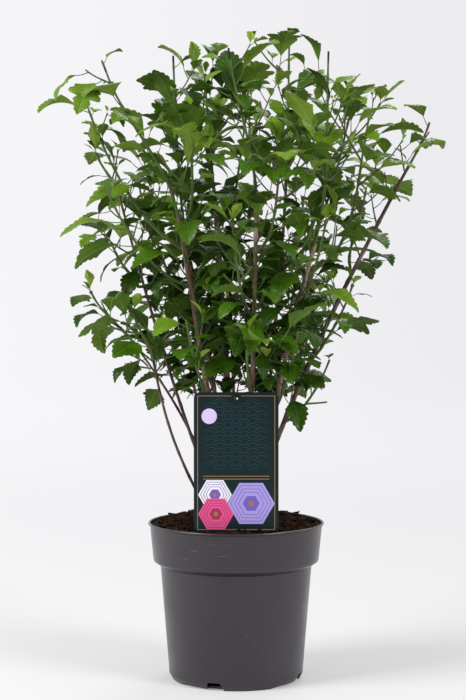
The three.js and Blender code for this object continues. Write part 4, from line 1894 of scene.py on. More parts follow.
@dataclass
class Soil:
    """The soil in the pot: a lumpy filling, with crumbs, bark chips and fibres strewn on it."""

    crown: float = 173
    edge: float = 166.5
    plateau: float = 50
    wall: float = 92.9
    reach: float = 92.1
    tilt: float = 0.025
    lump: float = 1.5
    rings: int = 46
    sides: int = 150
    density: float = 42000  # crumbs to a square metre
    bare_edge: float = 9  # clear of crumbs, at the wall
    fade: float = 6  # width at the wall where the clods die out
    sink: float = 0.6  # of the filling under its crumbs
    seed: int = 5

    UNDERSIDE = ((0, 3), (52, 3), (56, 16), (71, 30), (79.6, 124.6), (87, 130))  # inside the pot

    def height(self, x: float, y: float) -> float:
        """Reckons the soil's height: level in the middle, lower at the wall, lumpy.

        Args:
            x: To the side, in mm.
            y: Towards the back, in mm.

        Returns:
            The height in mm.
        """
        out = max(0.0, math.hypot(x, y) - self.plateau) / (self.wall - self.plateau)
        waves = math.sin(x * 0.19 + 1.1) * math.sin(y * 0.23 + 0.4) + 0.6 * math.sin(x * 0.31 - y * 0.27)
        level = mix(self.crown, self.edge, out * out) + self.tilt * y
        return level + self.lump * waves * (1 - out)

    def filling(self) -> Mesh:
        """Returns the soil's closed body, its top worked into small clods."""
        profile = [*self.UNDERSIDE, (self.reach, self.edge - 0.5)]
        profile += [(self.reach * i / self.rings, self.crown) for i in range(self.rings, 0, -1)]
        profile.append((0, self.crown))
        mesh = Lathe(tuple(profile), self.sides).mesh("soil_bed")
        for vertex in mesh.vertices:
            x, y, z = vertex.co / MM
            if z > self.edge:
                share = min(1.0, max(0.0, (self.reach - math.hypot(x, y)) / self.fade))
                vertex.co.z = (self.height(x, y) - self.sink + self.clods(x, y) * share) * MM
        return mesh

    @staticmethod
    def clods(x: float, y: float) -> float:
        """Reckons the clods at a place, from a few crossing waves.

        Args:
            x: To the side, in mm.
            y: Towards the back, in mm.

        Returns:
            Their height in mm.
        """
        broad = math.sin(x * 0.62 + 2 * math.sin(y * 0.41)) * math.sin(y * 0.57 + 1.7 * math.sin(x * 0.35))
        fine = math.sin(x * 1.7 + 2.2 * math.sin(y * 1.1)) * math.sin(y * 1.9 + 1.3 * math.sin(x * 0.9))
        return 1.1 * broad + 0.5 * fine

    def tree(self) -> GeometryTree:
        """Returns the tree that strews three kinds of crumb over the bed."""
        tree = GeometryTree(
            "strewn_soil",
            {"Density": Kind.NUMBER, "Seed": Kind.COUNT, "Finish": Kind.MATERIAL},
        )
        bed = tree.input("Geometry")
        position = tree.add("GeometryNodeInputPosition").outputs[0]
        up = tree.add("ShaderNodeSeparateXYZ", {0: tree.add("GeometryNodeInputNormal").outputs[0]}).outputs[2]
        x, y, _ = tree.add("ShaderNodeSeparateXYZ", {0: position}).outputs
        radius = tree.length(tree.add("ShaderNodeCombineXYZ", {0: x, 1: y}).outputs[0])
        inside = tree.math("LESS_THAN", radius, (self.reach - self.bare_edge) * MM)
        top = tree.times(inside, tree.math("GREATER_THAN", up, 0.4))
        join = tree.add("GeometryNodeJoinGeometry")
        for part in (bed, *(self.strew(tree, bed, top, crumb) for crumb in (LUMP, CHIP, FIBRE))):
            tree.tree.links.new(part, join.inputs[0])
        smooth = tree.through("GeometryNodeSetShadeSmooth", join.outputs[0], {"Shade Smooth": False})
        whole = tree.through("GeometryNodeRealizeInstances", smooth)
        tree.finish(tree.through("GeometryNodeSetMaterial", whole, {"Material": tree.input("Finish")}))
        return tree

    @staticmethod
    def strew(tree: GeometryTree, bed: Socket, top: Socket, crumb: Crumb) -> Socket:
        """Strews one kind of crumb.

        Args:
            tree: The tree to add to.
            bed: The surface.
            top: Where on it crumbs may lie.
            crumb: The kind.

        Returns:
            The crumbs.
        """
        seed = tree.plus(tree.input("Seed"), crumb.number)
        density = tree.times(tree.times(tree.input("Density"), crumb.share), top)
        inputs = {"Mesh": bed, "Density": density, "Seed": seed}
        points = tree.add("GeometryNodeDistributePointsOnFaces", inputs)
        ball = tree.add("GeometryNodeMeshIcoSphere", {"Radius": 1.0, "Subdivisions": 1}).outputs[0]
        place = tree.add("GeometryNodeInputPosition").outputs[0]
        jolt = tree.add("ShaderNodeTexNoise", {"Vector": place, "Scale": 1.7 + crumb.number}).outputs[1]
        moved = tree.scale(tree.vector("SUBTRACT", jolt, (0.5, 0.5, 0.5)), 1.3)
        rough = tree.through("GeometryNodeSetPosition", ball, {"Offset": moved})
        shape = tree.through("GeometryNodeTransform", rough, {"Scale": crumb.stretch})
        sizes = (size * MM for size in crumb.sizes)
        size = tree.random("FLOAT", *sizes, tree.plus(seed, 10))
        limit = np.array((crumb.TILT, crumb.TILT, math.pi))
        turn = tree.random("FLOAT_VECTOR", -limit, limit, tree.plus(seed, 20))
        inputs = {"Instance": shape, "Rotation": turn, "Scale": size}
        return tree.through("GeometryNodeInstanceOnPoints", points.outputs[0], inputs)

    def build(self) -> Object:
        """Builds the soil."""
        values = {"Density": self.density, "Seed": self.seed, "Finish": SOIL_CRUMB.material()}
        soil = self.tree().run("soil_bed", self.filling(), values)
        seat(soil, "soil", ["soil"])
        return soil


@dataclass(frozen=True)
class Tile:
    """A printed six-sided tile with nested lines round a solid middle."""

    name: str
    centre: Pair
    size: float  # from its middle to a corner
    main: CardPrint
    deep: CardPrint
    layer: int  # place in the order of printing

    LINES = (0.88, 0.72, 0.56)  # sizes of the nested lines, of the tile's
    MIDDLE = 0.36
    SPOT = 0.13


TILES = (
    Tile("lilac", (15.5, 30.5), 24.5, CARD_LILAC, CARD_LILAC_DEEP, 4),
    Tile("white", (-22, 39.5), 17.5, CARD_WHITE, CARD_LILAC_DEEP, 1),
    Tile("pink", (-21, 19.5), 18.5, CARD_PINK, CARD_PINK_DEEP, 7),
)


@dataclass
class Label:
    """The picture card: a rounded plastic card on a tail, with a plain printed design."""

    width: ClassVar[float] = 88
    height: ClassVar[float] = 146
    foot: ClassVar[Triple] = (0, -74, 167.3)
    thick: float = 0.8
    edge: float = 0.12  # radius of the softened edges
    weld: float = 0.003  # points this near are one
    sharp: float = 40  # degrees between faces that meet in a sharp edge
    corner: float = 7
    hole: float = 5
    hole_drop: float = 5.5
    lean: float = 1.6
    tail_width: float = 15
    tail_depth: float = 40
    ink: float = 0.05  # height of the print over the card
    border: float = 3.6
    line: float = 0.7
    scale_size: float = 8.6  # radius of a scallop
    scale_inner: float = 0.66  # radius of its inner line, of the outer's
    scale_line: float = 0.45
    scallop_foot: float = 62
    scallop_gap: float = 1.5  # inside the border
    bands: Pair = (55.4, 58.4)  # heights of the two gold bands
    band_inset: float = 6
    seal_place: Pair = (-28, 121)
    seal_size: float = 8

    def place(self, x: float, up: float, out: float) -> Triple:
        """Finds a point of the leaning card.

        Args:
            x: Across the card, in mm.
            up: Up the card.
            out: Out of its front, from its middle.

        Returns:
            The point, in metres.
        """
        lean = math.radians(self.lean)
        y = up * math.sin(lean) - out * math.cos(lean)
        z = up * math.cos(lean) + out * math.sin(lean)
        return (self.foot[0] + x) * MM, (self.foot[1] + y) * MM, (self.foot[2] + z) * MM

    def outline(self) -> list[Pair]:
        """Returns the card's outline with its tail, from the lower left anticlockwise."""
        half, tail = self.width / 2, self.tail_width / 2
        r, top = self.corner, self.height
        points = [(-half, 0), (-tail, 0), (-tail, -self.tail_depth * 0.6), (0, -self.tail_depth)]
        points += [(tail, -self.tail_depth * 0.6), (tail, 0), (half, 0)]
        points += arc((half - r, top - r), r, 0, 90, 10)
        points += arc((-half + r, top - r), r, 90, 180, 10)
        return points

    def card(self) -> Object:
        """Builds the card itself from a filled curve with softened edges."""
        curve = bpy.data.curves.new("card", "CURVE")
        curve.dimensions = "2D"
        curve.fill_mode = "BOTH"
        curve.extrude = (self.thick / 2 - self.edge) * MM
        curve.bevel_depth = self.edge * MM
        curve.bevel_resolution = 2
        curve.offset = -self.edge * MM
        hole = arc((0, self.height - self.hole_drop), self.hole / 2, 0, 345, 24)
        for points in (self.outline(), hole):
            spline = curve.splines.new("POLY")
            spline.points.add(len(points) - 1)
            for target, (x, y) in zip(spline.points, points):
                target.co = (x * MM, y * MM, 0, 1)
            spline.use_cyclic_u = True
        flat = link(bpy.data.objects.new("card", curve))
        mesh = settled(flat)
        bpy.data.objects.remove(flat)
        for vertex in mesh.vertices:
            x, up, out = vertex.co / MM
            vertex.co = self.place(x, up, out)
        shell = bmesh.new()
        shell.from_mesh(mesh)
        bmesh.ops.remove_doubles(shell, verts=shell.verts, dist=self.weld * MM)
        bmesh.ops.recalc_face_normals(shell, faces=shell.faces)
        shell.to_mesh(mesh)
        shell.free()
        mesh.materials.clear()
        card = new_object("label_card", mesh, CARD_TEAL)
        mesh.set_sharp_from_angle(angle=math.radians(self.sharp))
        seat(card, "label", ["label"])
        return card

    def plate(self, outline: Sequence[Pair], layer: int) -> Shape:
        """Returns the points and faces of a flat printed shape with straight sides.

        Args:
            outline: Its corners on the card, in mm, anticlockwise.
            layer: Place in the order of printing.

        Returns:
            Points in metres, and faces.
        """
        level = self.thick / 2 + self.ink * (1 + layer)
        points = [self.place(x, up, out) for out in (0, level) for x, up in outline]
        count = len(outline)
        sides = [(i, (i + 1) % count, (i + 1) % count + count, i + count) for i in range(count)]
        return points, [tuple(reversed(range(count))), tuple(range(count, 2 * count)), *sides]

    def disc(self, centre: Pair, radius: float, layer: int, sides: int) -> Shape:
        """Returns the points and faces of a printed disc with so many straight sides."""
        return self.plate(arc(centre, radius, 0, 360 - 360 / sides, sides), layer)

    def bar(self, low: Pair, high: Pair, layer: int = 0) -> Shape:
        """Returns the points and faces of a printed upright rectangle between two corners."""
        return self.plate([low, (high[0], low[1]), high, (low[0], high[1])], layer)

    def ring(
        self,
        centre: Pair,
        radii: Pair,
        layer: int,
        span: Pair = (0, 360),
        sides: int = 36,
    ) -> Shape:
        """Returns the points and faces of a flat printed ring, or of an arc of one.

        Args:
            centre: On the card, in mm.
            radii: Inside and outside radius.
            layer: Place in the order of printing.
            span: Angles that it runs between, in degrees.
            sides: Straight sides of a full turn.

        Returns:
            Points in metres, and faces.
        """
        inner, outer = radii
        start, end = span
        closed = end - start == 360
        count = sides if closed else max(3, round(sides * (end - start) / 360)) + 1
        level = self.thick / 2 + self.ink * (1 + layer)
        points, faces = [], []
        for x, up in arc((0, 0), 1, start, end - 360 / sides if closed else end, count):
            for radius, out in ((inner, 0), (inner, level), (outer, level), (outer, 0)):
                points.append(self.place(centre[0] + x * radius, centre[1] + up * radius, out))
        for i in range(count if closed else count - 1):
            a, b = i * 4, (i + 1) % count * 4
            faces += [(a + k, a + (k + 1) % 4, b + (k + 1) % 4, b + k) for k in range(4)]
        if not closed:
            faces += [(3, 2, 1, 0), tuple(range(len(points) - 4, len(points)))]
        return points, faces

    def printed(self, name: str, shapes: Iterable[Shape], finish: Finish) -> None:
        """Joins printed shapes of one ink into one piece.

        Args:
            name: Of the piece.
            shapes: Points and faces of each.
            finish: The ink.
        """
        points, faces = [], []
        for more_points, more_faces in shapes:
            start = len(points)
            points += more_points
            faces += [tuple(i + start for i in face) for face in more_faces]
        seat(new_object(name, new_mesh(name, points, faces, smooth=False), finish), "label", [])

    def scallops(self) -> Iterable[Shape]:
        """Yields the arcs of a field of scallops, two to a scale, inside the border."""
        size = self.scale_size
        half = self.width / 2 - self.border - self.scallop_gap
        top = self.height - self.border - self.scallop_gap
        rows = int((top - self.scallop_foot) / (size / 2)) + 1
        for row in range(rows):
            up = self.scallop_foot + row * size / 2
            shift = size if row % 2 else 0
            for column in range(-4, 5):
                x = column * 2 * size + shift
                near_hole = math.hypot(x, up - self.height + self.hole_drop) < size + self.hole
                if abs(x) + size > half or up + size > top or near_hole:
                    continue
                for radius in (size, size * self.scale_inner):
                    yield self.ring((x, up), (radius - self.scale_line, radius), 0, (30, 150))

    def tile(self, tile: Tile) -> None:
        """Prints a tile.

        Args:
            tile: Its place, size and inks.
        """
        size, above = tile.size, tile.layer + 1
        self.printed(f"label_{tile.name}", [self.disc(tile.centre, size, tile.layer, 6)], tile.main)
        lines = [
            self.ring(tile.centre, (size * share - self.line, size * share), above, sides=6)
            for share in tile.LINES
        ]
        lines.append(self.disc(tile.centre, size * tile.MIDDLE, above, 6))
        self.printed(f"label_{tile.name}_lines", lines, tile.deep)
        spot = self.disc(tile.centre, size * tile.SPOT, above + 1, 6)
        self.printed(f"label_{tile.name}_spot", [spot], CARD_GOLD)

    def build(self) -> None:
        """Builds the card and its print: a scallop field over three six-sided tiles."""
        self.card()
        self.printed("label_scallops", self.scallops(), CARD_TEAL_LINE)
        half, top, edge, foot = self.width / 2 - self.border, self.height - self.border, self.line, 3
        bars = [
            self.bar((-half, foot + edge), (-half + edge, top - edge)),
            self.bar((half - edge, foot + edge), (half, top - edge)),
            self.bar((-half, top - edge), (-self.hole, top)),
            self.bar((self.hole, top - edge), (half, top)),
            self.bar((-half, foot), (half, foot + edge)),
        ]
        inset = half - self.band_inset
        bars += [self.bar((-inset, up), (inset, up + edge)) for up in self.bands]
        self.printed("label_gold", bars, CARD_GOLD)
        for tile in TILES:
            self.tile(tile)
        self.printed("label_seal", [self.disc(self.seal_place, self.seal_size, 1, 36)], CARD_LILAC_PALE)


@dataclass(frozen=True)
class Cover:
    """What covers a kind of limb: its finish, its relief in mm and how finely it is made."""

    finish: Finish
    sides: int
    relief: float = 0
    dimples: float = 0
    grain: float = 1100  # ridges to a metre

    def values(self) -> dict[str, object]:
        """Returns the limb tree's inputs."""
        return {
            "Sides": self.sides,
            "Relief": self.relief * MM,
            "Dimples": self.dimples * MM,
            "Grain": float(self.grain),
            "Finish": self.finish.material(),
        }


CANE_COVERS = {
    Wood.OLD: Cover(CANE_BARK, 22, 0.42, 0.7),
    Wood.YOUNG: Cover(YOUNG_BARK, 22, 0.42, 0.7),
}
WOODY_COVER = Cover(YOUNG_BARK, 12, 0.3, 0.3)
SHOOT_COVER = Cover(SHOOT_SKIN, 7, 0.12, 0.1, 1200)
DRY_COVER = Cover(DRY_END, 8, 0.1, 0.1, 900)
PETIOLE_COVER = Cover(PETIOLE_SKIN, 5)


class LimbTree(GeometryTree):
    """Skins paths into limbs: a round section of each point's own radius, with closed ends."""

    STRETCH = (1.0, 1.0, 0.12)  # makes the ridges long
    DIMPLES = 75.0  # to a metre

    def __init__(self) -> None:
        """Builds the tree."""
        inputs = {
            "Sides": Kind.COUNT,
            "Relief": Kind.NUMBER,
            "Grain": Kind.NUMBER,
            "Dimples": Kind.NUMBER,
            "Finish": Kind.MATERIAL,
        }
        super().__init__("limbs", inputs)
        line = self.through("GeometryNodeMeshToCurve", self.input("Geometry"))
        inputs = {"Resolution": self.input("Sides"), "Radius": 1.0}
        ring = self.add("GeometryNodeCurvePrimitiveCircle", inputs)
        inputs = {
            "Curve": line,
            "Profile Curve": ring.outputs[0],
            "Scale": self.attribute("limb_radius"),
            "Fill Caps": True,
        }
        skin = self.add("GeometryNodeCurveToMesh", inputs)
        place = self.add("GeometryNodeInputPosition").outputs[0]
        stretched = self.vector("MULTIPLY", place, self.STRETCH)
        grain = self.add("ShaderNodeTexNoise", {"Vector": stretched, "Scale": self.input("Grain")}).outputs[0]
        dimples = self.add("ShaderNodeTexNoise", {"Vector": place, "Scale": self.DIMPLES}).outputs[0]
        ridges = self.times(self.minus(grain, 0.5), self.input("Relief"))
        hollows = self.times(self.minus(dimples, 0.5), self.input("Dimples"))
        normal = self.add("GeometryNodeInputNormal").outputs[0]
        offset = self.scale(normal, self.plus(ridges, hollows))
        rough = self.through("GeometryNodeSetPosition", skin.outputs[0], {"Offset": offset})
        smooth = self.through("GeometryNodeSetShadeSmooth", rough)
        whole = self.through("GeometryNodeRealizeInstances", smooth)
        self.finish(self.through("GeometryNodeSetMaterial", whole, {"Material": self.input("Finish")}))

    def skin(self, name: str, paths: Sequence[tuple[Rows, np.ndarray]], cover: Cover) -> Object:
        """Skins limbs into one piece.

        Args:
            name: Of the piece.
            paths: Each limb's line and its radius at each point, in mm.
            cover: What the limbs are covered with.

        Returns:
            The piece.
        """
        points, edges, radii = [], [], []
        for path, radius in paths:
            start = len(points)
            points += [tuple(p * MM) for p in path]
            radii += [r * MM for r in radius]
            edges += [(start + i, start + i + 1) for i in range(len(path) - 1)]
        mesh = bpy.data.meshes.new(name)
        mesh.from_pydata(points, edges, [])
        set_attribute(mesh, "limb_radius", radii)
        return self.run(name, mesh, cover.values())


@dataclass
class Canes:
    """The woody canes: flared at the foot, knuckled at the old leaf joints, cut at the top."""

    tree: LimbTree
    slimming: float = 0.9  # leaves room for the bark's relief
    step: float = 2.2
    first_joint: Pair = (10, 34)
    joint_gap: Pair = (20.4, 44.2)
    joint_swell: Pair = (0.08, 0.208)
    joint_width: float = 3.2
    bare_tip: float = 6  # without joints
    tip_swell: float = 0.22
    tip_width: float = 7
    seed: int = 900

    def build(self) -> None:
        """Builds every cane as its own piece."""
        for number, (name, cane) in enumerate(CANES.items()):
            self.build_cane(name, cane, Draw(self.seed + number))

    def build_cane(self, name: str, cane: Cane, draw: Draw) -> None:
        """Builds one cane.

        Args:
            name: Of its solid.
            cane: Its course.
            draw: Source of the random numbers.
        """
        rough = cane.path()
        length = path_length(rough)
        path = smooth_path(rough, int(length / self.step))
        shares = np.linspace(0, 1, len(path))
        radius = np.array([cane.radius_at(share) for share in shares]) * self.slimming
        joint = draw.between(self.first_joint)
        while joint < length - self.bare_tip:
            swell = draw.between(self.joint_swell)
            radius *= 1 + swell * np.exp(-(((shares * length - joint) / self.joint_width) ** 2))
            joint += draw.between(self.joint_gap)
        radius *= 1 + self.tip_swell * np.exp(-(((1 - shares) * length / self.tip_width) ** 2))
        seat(self.tree.skin(f"bark_{name}", [(path, radius)], CANE_COVERS[cane.wood]), "bark", [name])


class BladeTree(GeometryTree):
    """Sets a flat blade on every leaf's point and bends it into that leaf's own shape."""

    WAVE_TURNS = 11.0

    def __init__(self) -> None:
        """Builds the tree, which takes a flat blade one unit long for each form of leaf."""
        inputs = {form.name: Kind.OBJECT for form in Form}
        super().__init__("leaf_blades", {**inputs, "Wave": Kind.NUMBER})
        shapes = self.add("GeometryNodeJoinGeometry")
        for form in reversed(Form):
            shape = self.add("GeometryNodeObjectInfo", {"Object": self.input(form.name), "As Instance": True})
            self.tree.links.new(shape.outputs["Geometry"], shapes.inputs[0])
        spread = self.through(
            "GeometryNodeInstanceOnPoints",
            self.input("Geometry"),
            {
                "Instance": shapes.outputs[0],
                "Pick Instance": True,
                "Instance Index": self.attribute("form", "INT"),
            },
        )
        whole = self.through("GeometryNodeRealizeInstances", spread)
        bent = self.through("GeometryNodeSetPosition", whole, {"Position": self.bent_place()})
        self.finish(self.painted(self.through("GeometryNodeSetShadeSmooth", bent)))

    def bent_place(self) -> Socket:
        """Returns where a point of a blade lies on its own leaf."""
        blade = self.add("ShaderNodeSeparateXYZ", {0: self.attribute("blade", "FLOAT_VECTOR")}).outputs
        along, out, lift = blade[0], blade[1], blade[2]
        base, forward, across = (
            self.attribute(name, "FLOAT_VECTOR") for name in ("base", "forward", "across")
        )
        length, droop = self.attribute("length"), self.attribute("droop")
        over = self.vector("CROSS_PRODUCT", across, forward)
        bend = self.times(droop, along)
        sine, cosine = self.math("SINE", bend), self.math("COSINE", bend)
        scale = self.math("DIVIDE", length, droop)
        normal = self.vector("ADD", self.scale(over, cosine), self.scale(forward, sine))
        twist = self.times(self.attribute("twist"), along)
        side = self.vector(
            "ADD",
            self.scale(across, self.math("COSINE", twist)),
            self.scale(normal, self.math("SINE", twist)),
        )
        outward = self.math("ABSOLUTE", out)
        fold = self.times(outward, self.attribute("fold"))
        curl = self.times(self.times(outward, outward), self.attribute("curl"))
        swing = self.times(along, self.WAVE_TURNS)
        start = self.times(self.attribute("phase"), self.math("SIGN", out))
        swing = self.math("SINE", self.plus(swing, start))
        wave = self.times(swing, self.times(outward, self.input("Wave")))
        height = self.plus(self.minus(fold, curl), self.plus(wave, lift))
        return self.add_up(
            base,
            self.scale(forward, self.times(scale, sine)),
            self.scale(over, self.times(scale, self.minus(cosine, 1.0))),
            self.scale(side, self.times(out, length)),
            self.scale(normal, self.times(height, length)),
        )

    def painted(self, geometry: Socket) -> Socket:
        """Gives each leaf's two sides the finishes of its kind.

        Args:
            geometry: The blades.

        Returns:
            The painted blades.
        """
        under = self.math("GREATER_THAN", self.attribute("under"), 0.5)
        above = self.minus(1.0, under)
        tone = self.attribute("tone")
        for kind in Tone:
            own = self.math("COMPARE", tone, float(kind.value), 0.1)
            for side, finish in ((above, UPPER[kind]), (under, UNDER[kind])):
                inputs = {"Selection": self.times(own, side), "Material": finish.material()}
                geometry = self.through("GeometryNodeSetMaterial", geometry, inputs)
        return geometry


class Form(Enum):
    """Shapes of leaf: half the outline from the base to the tip, as shares of the length."""

    LOBED = (
        (0.07, 0.045), (0.17, 0.125), (0.27, 0.215), (0.335, 0.27), (0.375, 0.315), (0.42, 0.32),
        (0.445, 0.285), (0.5, 0.35), (0.55, 0.355), (0.58, 0.32), (0.59, 0.245), (0.635, 0.26),
        (0.68, 0.25), (0.7, 0.205), (0.75, 0.215), (0.79, 0.19), (0.805, 0.145), (0.86, 0.14),
        (0.895, 0.105), (0.91, 0.075), (0.955, 0.06), (0.985, 0.03),
    )
    NARROW = (
        (0.1, 0.045), (0.22, 0.115), (0.34, 0.18), (0.42, 0.215), (0.47, 0.255), (0.515, 0.26),
        (0.535, 0.215), (0.59, 0.25), (0.635, 0.245), (0.65, 0.19), (0.705, 0.205), (0.75, 0.185),
        (0.765, 0.14), (0.815, 0.15), (0.855, 0.125), (0.87, 0.085), (0.915, 0.085), (0.955, 0.055),
        (0.985, 0.025),
    )
    CLEFT = (
        (0.07, 0.045), (0.17, 0.13), (0.26, 0.22), (0.31, 0.285), (0.35, 0.34), (0.4, 0.345),
        (0.425, 0.31), (0.475, 0.4), (0.53, 0.425), (0.565, 0.4), (0.578, 0.33), (0.585, 0.235),
        (0.595, 0.165), (0.62, 0.19), (0.67, 0.23), (0.715, 0.225), (0.735, 0.175), (0.785, 0.19),
        (0.825, 0.165), (0.84, 0.115), (0.89, 0.115), (0.925, 0.085), (0.94, 0.05), (0.98, 0.035),
    )


@dataclass
class BladeShape:
    """The flat leaf blade: wedge-shaped base, two side lobes, a longer middle one, round teeth."""

    form: Form
    inner: float = 0.5  # place of the ring between midrib and margin
    half_thick: float = 0.0026
    puff: float = 0.02  # the blade bulges a little between midrib and margin
    sweep: float = 0.26  # how far a row of points slants towards the tip, as the side veins do

    def rows(self) -> list[list[Triple]]:
        """Returns the rows of points across the blade, from the left margin to the right."""
        rows = []
        for along, out in self.form.value:
            rib = along * (1 - self.sweep + self.sweep * along)
            half = (rib + (along - rib) * self.inner, out * self.inner)
            right = [(rib, 0.0, 0.0), (*half, self.puff), (along, out, 0.0)]
            left = [(a, -o, h) for a, o, h in reversed(right[1:])]
            rows.append(left + right)
        return rows

    def build(self) -> Object:
        """Builds the blade as a thin closed shell whose two sides share their margin."""
        rows = self.rows()
        points = [(0.0, 0.0, 0.0), (1.0, 0.0, 0.0)]
        sheets = []
        margins = [(self.add(points, row[0]), self.add(points, row[-1])) for row in rows]
        for side in (1, -1):
            sheet = []
            for (left, right), row in zip(margins, rows):
                inner = [self.add(points, (a, o, h + side * self.half_thick)) for a, o, h in row[1:-1]]
                sheet.append([left, *inner, right])
            sheets.append(sheet)
        faces, under = [], []
        for number, sheet in enumerate(sheets):
            for face in self.skin(sheet):
                faces.append(face if number == 0 else tuple(reversed(face)))
                under.append(float(number))
        name = f"{self.form.name.lower()}_blade"
        mesh = new_mesh(name, points, faces)
        set_attribute(mesh, "blade", points)
        set_attribute(mesh, "under", under, "FACE")
        rim = {0, 1, *(i for pair in margins for i in pair)}
        sharp = [all(v in rim for v in edge.vertices) for edge in mesh.edges]
        mesh.attributes.new("sharp_edge", "BOOLEAN", "EDGE").data.foreach_set("value", sharp)
        return bpy.data.objects.new(name, mesh)

    @staticmethod
    def add(points: list, point: Triple) -> int:
        """Adds a point and returns its number."""
        points.append(point)
        return len(points) - 1

    @staticmethod
    def skin(sheet: list[list[int]]) -> Iterable[tuple[int, ...]]:
        """Yields the faces of one side, seen from above, anticlockwise.

        Args:
            sheet: Rows of point numbers, from the base to the tip.

        Yields:
            Numbers of each face's points.
        """
        base, tip = 0, 1
        for a, b in zip(sheet[0], sheet[0][1:]):
            yield base, b, a
        for low, high in zip(sheet, sheet[1:]):
            for i in range(len(low) - 1):
                yield low[i], low[i + 1], high[i + 1], high[i]
        for a, b in zip(sheet[-1], sheet[-1][1:]):
            yield a, b, tip


@dataclass
class Foliage:
    """The shoots, petioles and leaves of the whole crown, in pieces by section."""

    limbs: LimbTree
    growth: Growth = field(default_factory=Growth)
    crown: Crown = field(default_factory=Crown)
    wave: float = 0.1
    fold: Pair = (-0.2, 0.3)  # added to each blade's own
    curl: Pair = (0.0, 0.9)
    twist: Pair = (-0.5, 0.5)
    blade_seed: int = 60
    shares: Pair = (0.38, 0.74)  # of the leaves: where the first form ends, and the second
    node_swell: float = 0.3
    node_width: float = 3
    stoutness: float = 1.15  # of the shoots, against the solids'
    dry_points: int = 4  # points of a cut shoot's line that are dry
    dry_stoutness: float = 1.06
    dry_overlap: float = 0.1  # of a step, past the cut
    petiole_radius: Pair = (0.72, 0.5)
    petiole_points: int = 5
    petiole_sag: float = 0.06  # of its length
    petiole_overlap: float = 0.03  # of the blade's length, inside the blade
    petiole_least: float = 0.45  # share of the radius that the smallest leaf's petiole has
    petiole_full: float = 110  # length of blade over which that share would grow by one

    def build(self) -> None:
        """Grows every mass and builds its section's pieces."""
        grower = Grower(self.growth, self.crown)
        grown = {name: grower.grow(name, self.growth.seed + i) for i, name in enumerate(MASSES)}
        grower.grow_spurs(Spurs(), grown)
        sprays = list(grown.values())
        leaves = sum(len(spray.leaves) for spray in sprays)
        twigs = sum(len(spray.twigs) for spray in sprays)
        log.info("%d leaves on %d twigs", leaves, twigs)
        shapes = {form.name: BladeShape(form).build() for form in Form}
        blades = BladeTree()
        for section in Section:
            own = [spray for spray in sprays if section_of(spray.mass) is section]
            self.build_leaves(section, blades, shapes, own)
            self.build_twigs(section, own)
            self.build_petioles(section, own)
        self.build_woody(sprays)
        self.build_cut_ends(sprays)
        for shape in shapes.values():
            bpy.data.objects.remove(shape)

    def build_leaves(
        self, section: Section, blades: BladeTree, shapes: dict[str, Object], sprays: list[Spray]
    ) -> None:
        """Builds the blades of one section as one piece.

        Args:
            section: The part of the crown.
            blades: The tree that sets and bends blades.
            shapes: A flat blade for each form of leaf, by the form's name.
            sprays: What grows in the section.
        """
        leaves = [leaf for spray in sprays for leaf in spray.leaves]
        draw = Draw(self.blade_seed + len(leaves))
        name = f"leaves_of_{section.value}"
        mesh = bpy.data.meshes.new(name)
        mesh.from_pydata([tuple(leaf.base * MM) for leaf in leaves], [], [])
        columns = {
            "base": [leaf.base * MM for leaf in leaves],
            "forward": [leaf.forward for leaf in leaves],
            "across": [leaf.across for leaf in leaves],
            "length": [leaf.length * MM for leaf in leaves],
            "droop": [leaf.droop for leaf in leaves],
            "fold": [leaf.fold + draw.between(self.fold) for leaf in leaves],
            "curl": [draw.between(self.curl) for _ in leaves],
            "form": [sum(draw.next() > share for share in self.shares) for _ in leaves],
            "twist": [draw.between(self.twist) for _ in leaves],
            "phase": [draw.between((0, FULL_TURN)) for _ in leaves],
            "tone": [float(leaf.tone.value) for leaf in leaves],
        }
        for column, values in columns.items():
            set_attribute(mesh, column, values)
        piece = blades.run(name, mesh, {**shapes, "Wave": self.wave})
        for spare in (*columns, "under"):
            if spare in piece.data.attributes:
                piece.data.attributes.remove(piece.data.attributes[spare])
        seat(piece, "foliage", [spray.mass for spray in sprays])

    def build_twigs(self, section: Section, sprays: list[Spray]) -> None:
        """Builds the green shoots and twigs of one section as one piece.

        Args:
            section: The part of the crown.
            sprays: What grows in it.
        """
        paths = [self.limb(twig, spray) for spray in sprays for twig in spray.twigs if not twig.woody]
        piece = self.limbs.skin(f"shoots_of_{section.value}", paths, SHOOT_COVER)
        seat(piece, "foliage", [spray.mass for spray in sprays])

    def limb(self, twig: Twig, spray: Spray) -> tuple[Rows, np.ndarray]:
        """Shapes a twig as far as it is kept, swollen where leaves stand.

        Args:
            twig: The twig.
            spray: What it belongs to.

        Returns:
            Its line and the radius at each point.
        """
        line = twig.line
        shares = np.linspace(0, 1, len(line))
        radius = mix(*twig.radius, shares) * self.stoutness
        width = self.node_width / path_length(line)
        for leaf in spray.leaves:
            if leaf.twig is twig:
                radius = radius * (1 + self.node_swell * np.exp(-(((shares - leaf.share) / width) ** 2)))
        kept = max(3, int(math.ceil(twig.end * (len(line) - 1))) + 1)
        line, radius = line[:kept], radius[:kept]
        if twig.heel is not None:
            line, radius = np.vstack([twig.heel, line]), np.append(radius[0], radius)
        return line, radius

    def build_woody(self, sprays: list[Spray]) -> None:
        """Builds the leading shoots that have bark already."""
        paths = [self.limb(spray.twigs[0], spray) for spray in sprays if spray.twigs[0].woody]
        seat(self.limbs.skin("woody_shoots", paths, WOODY_COVER), "bark", [])

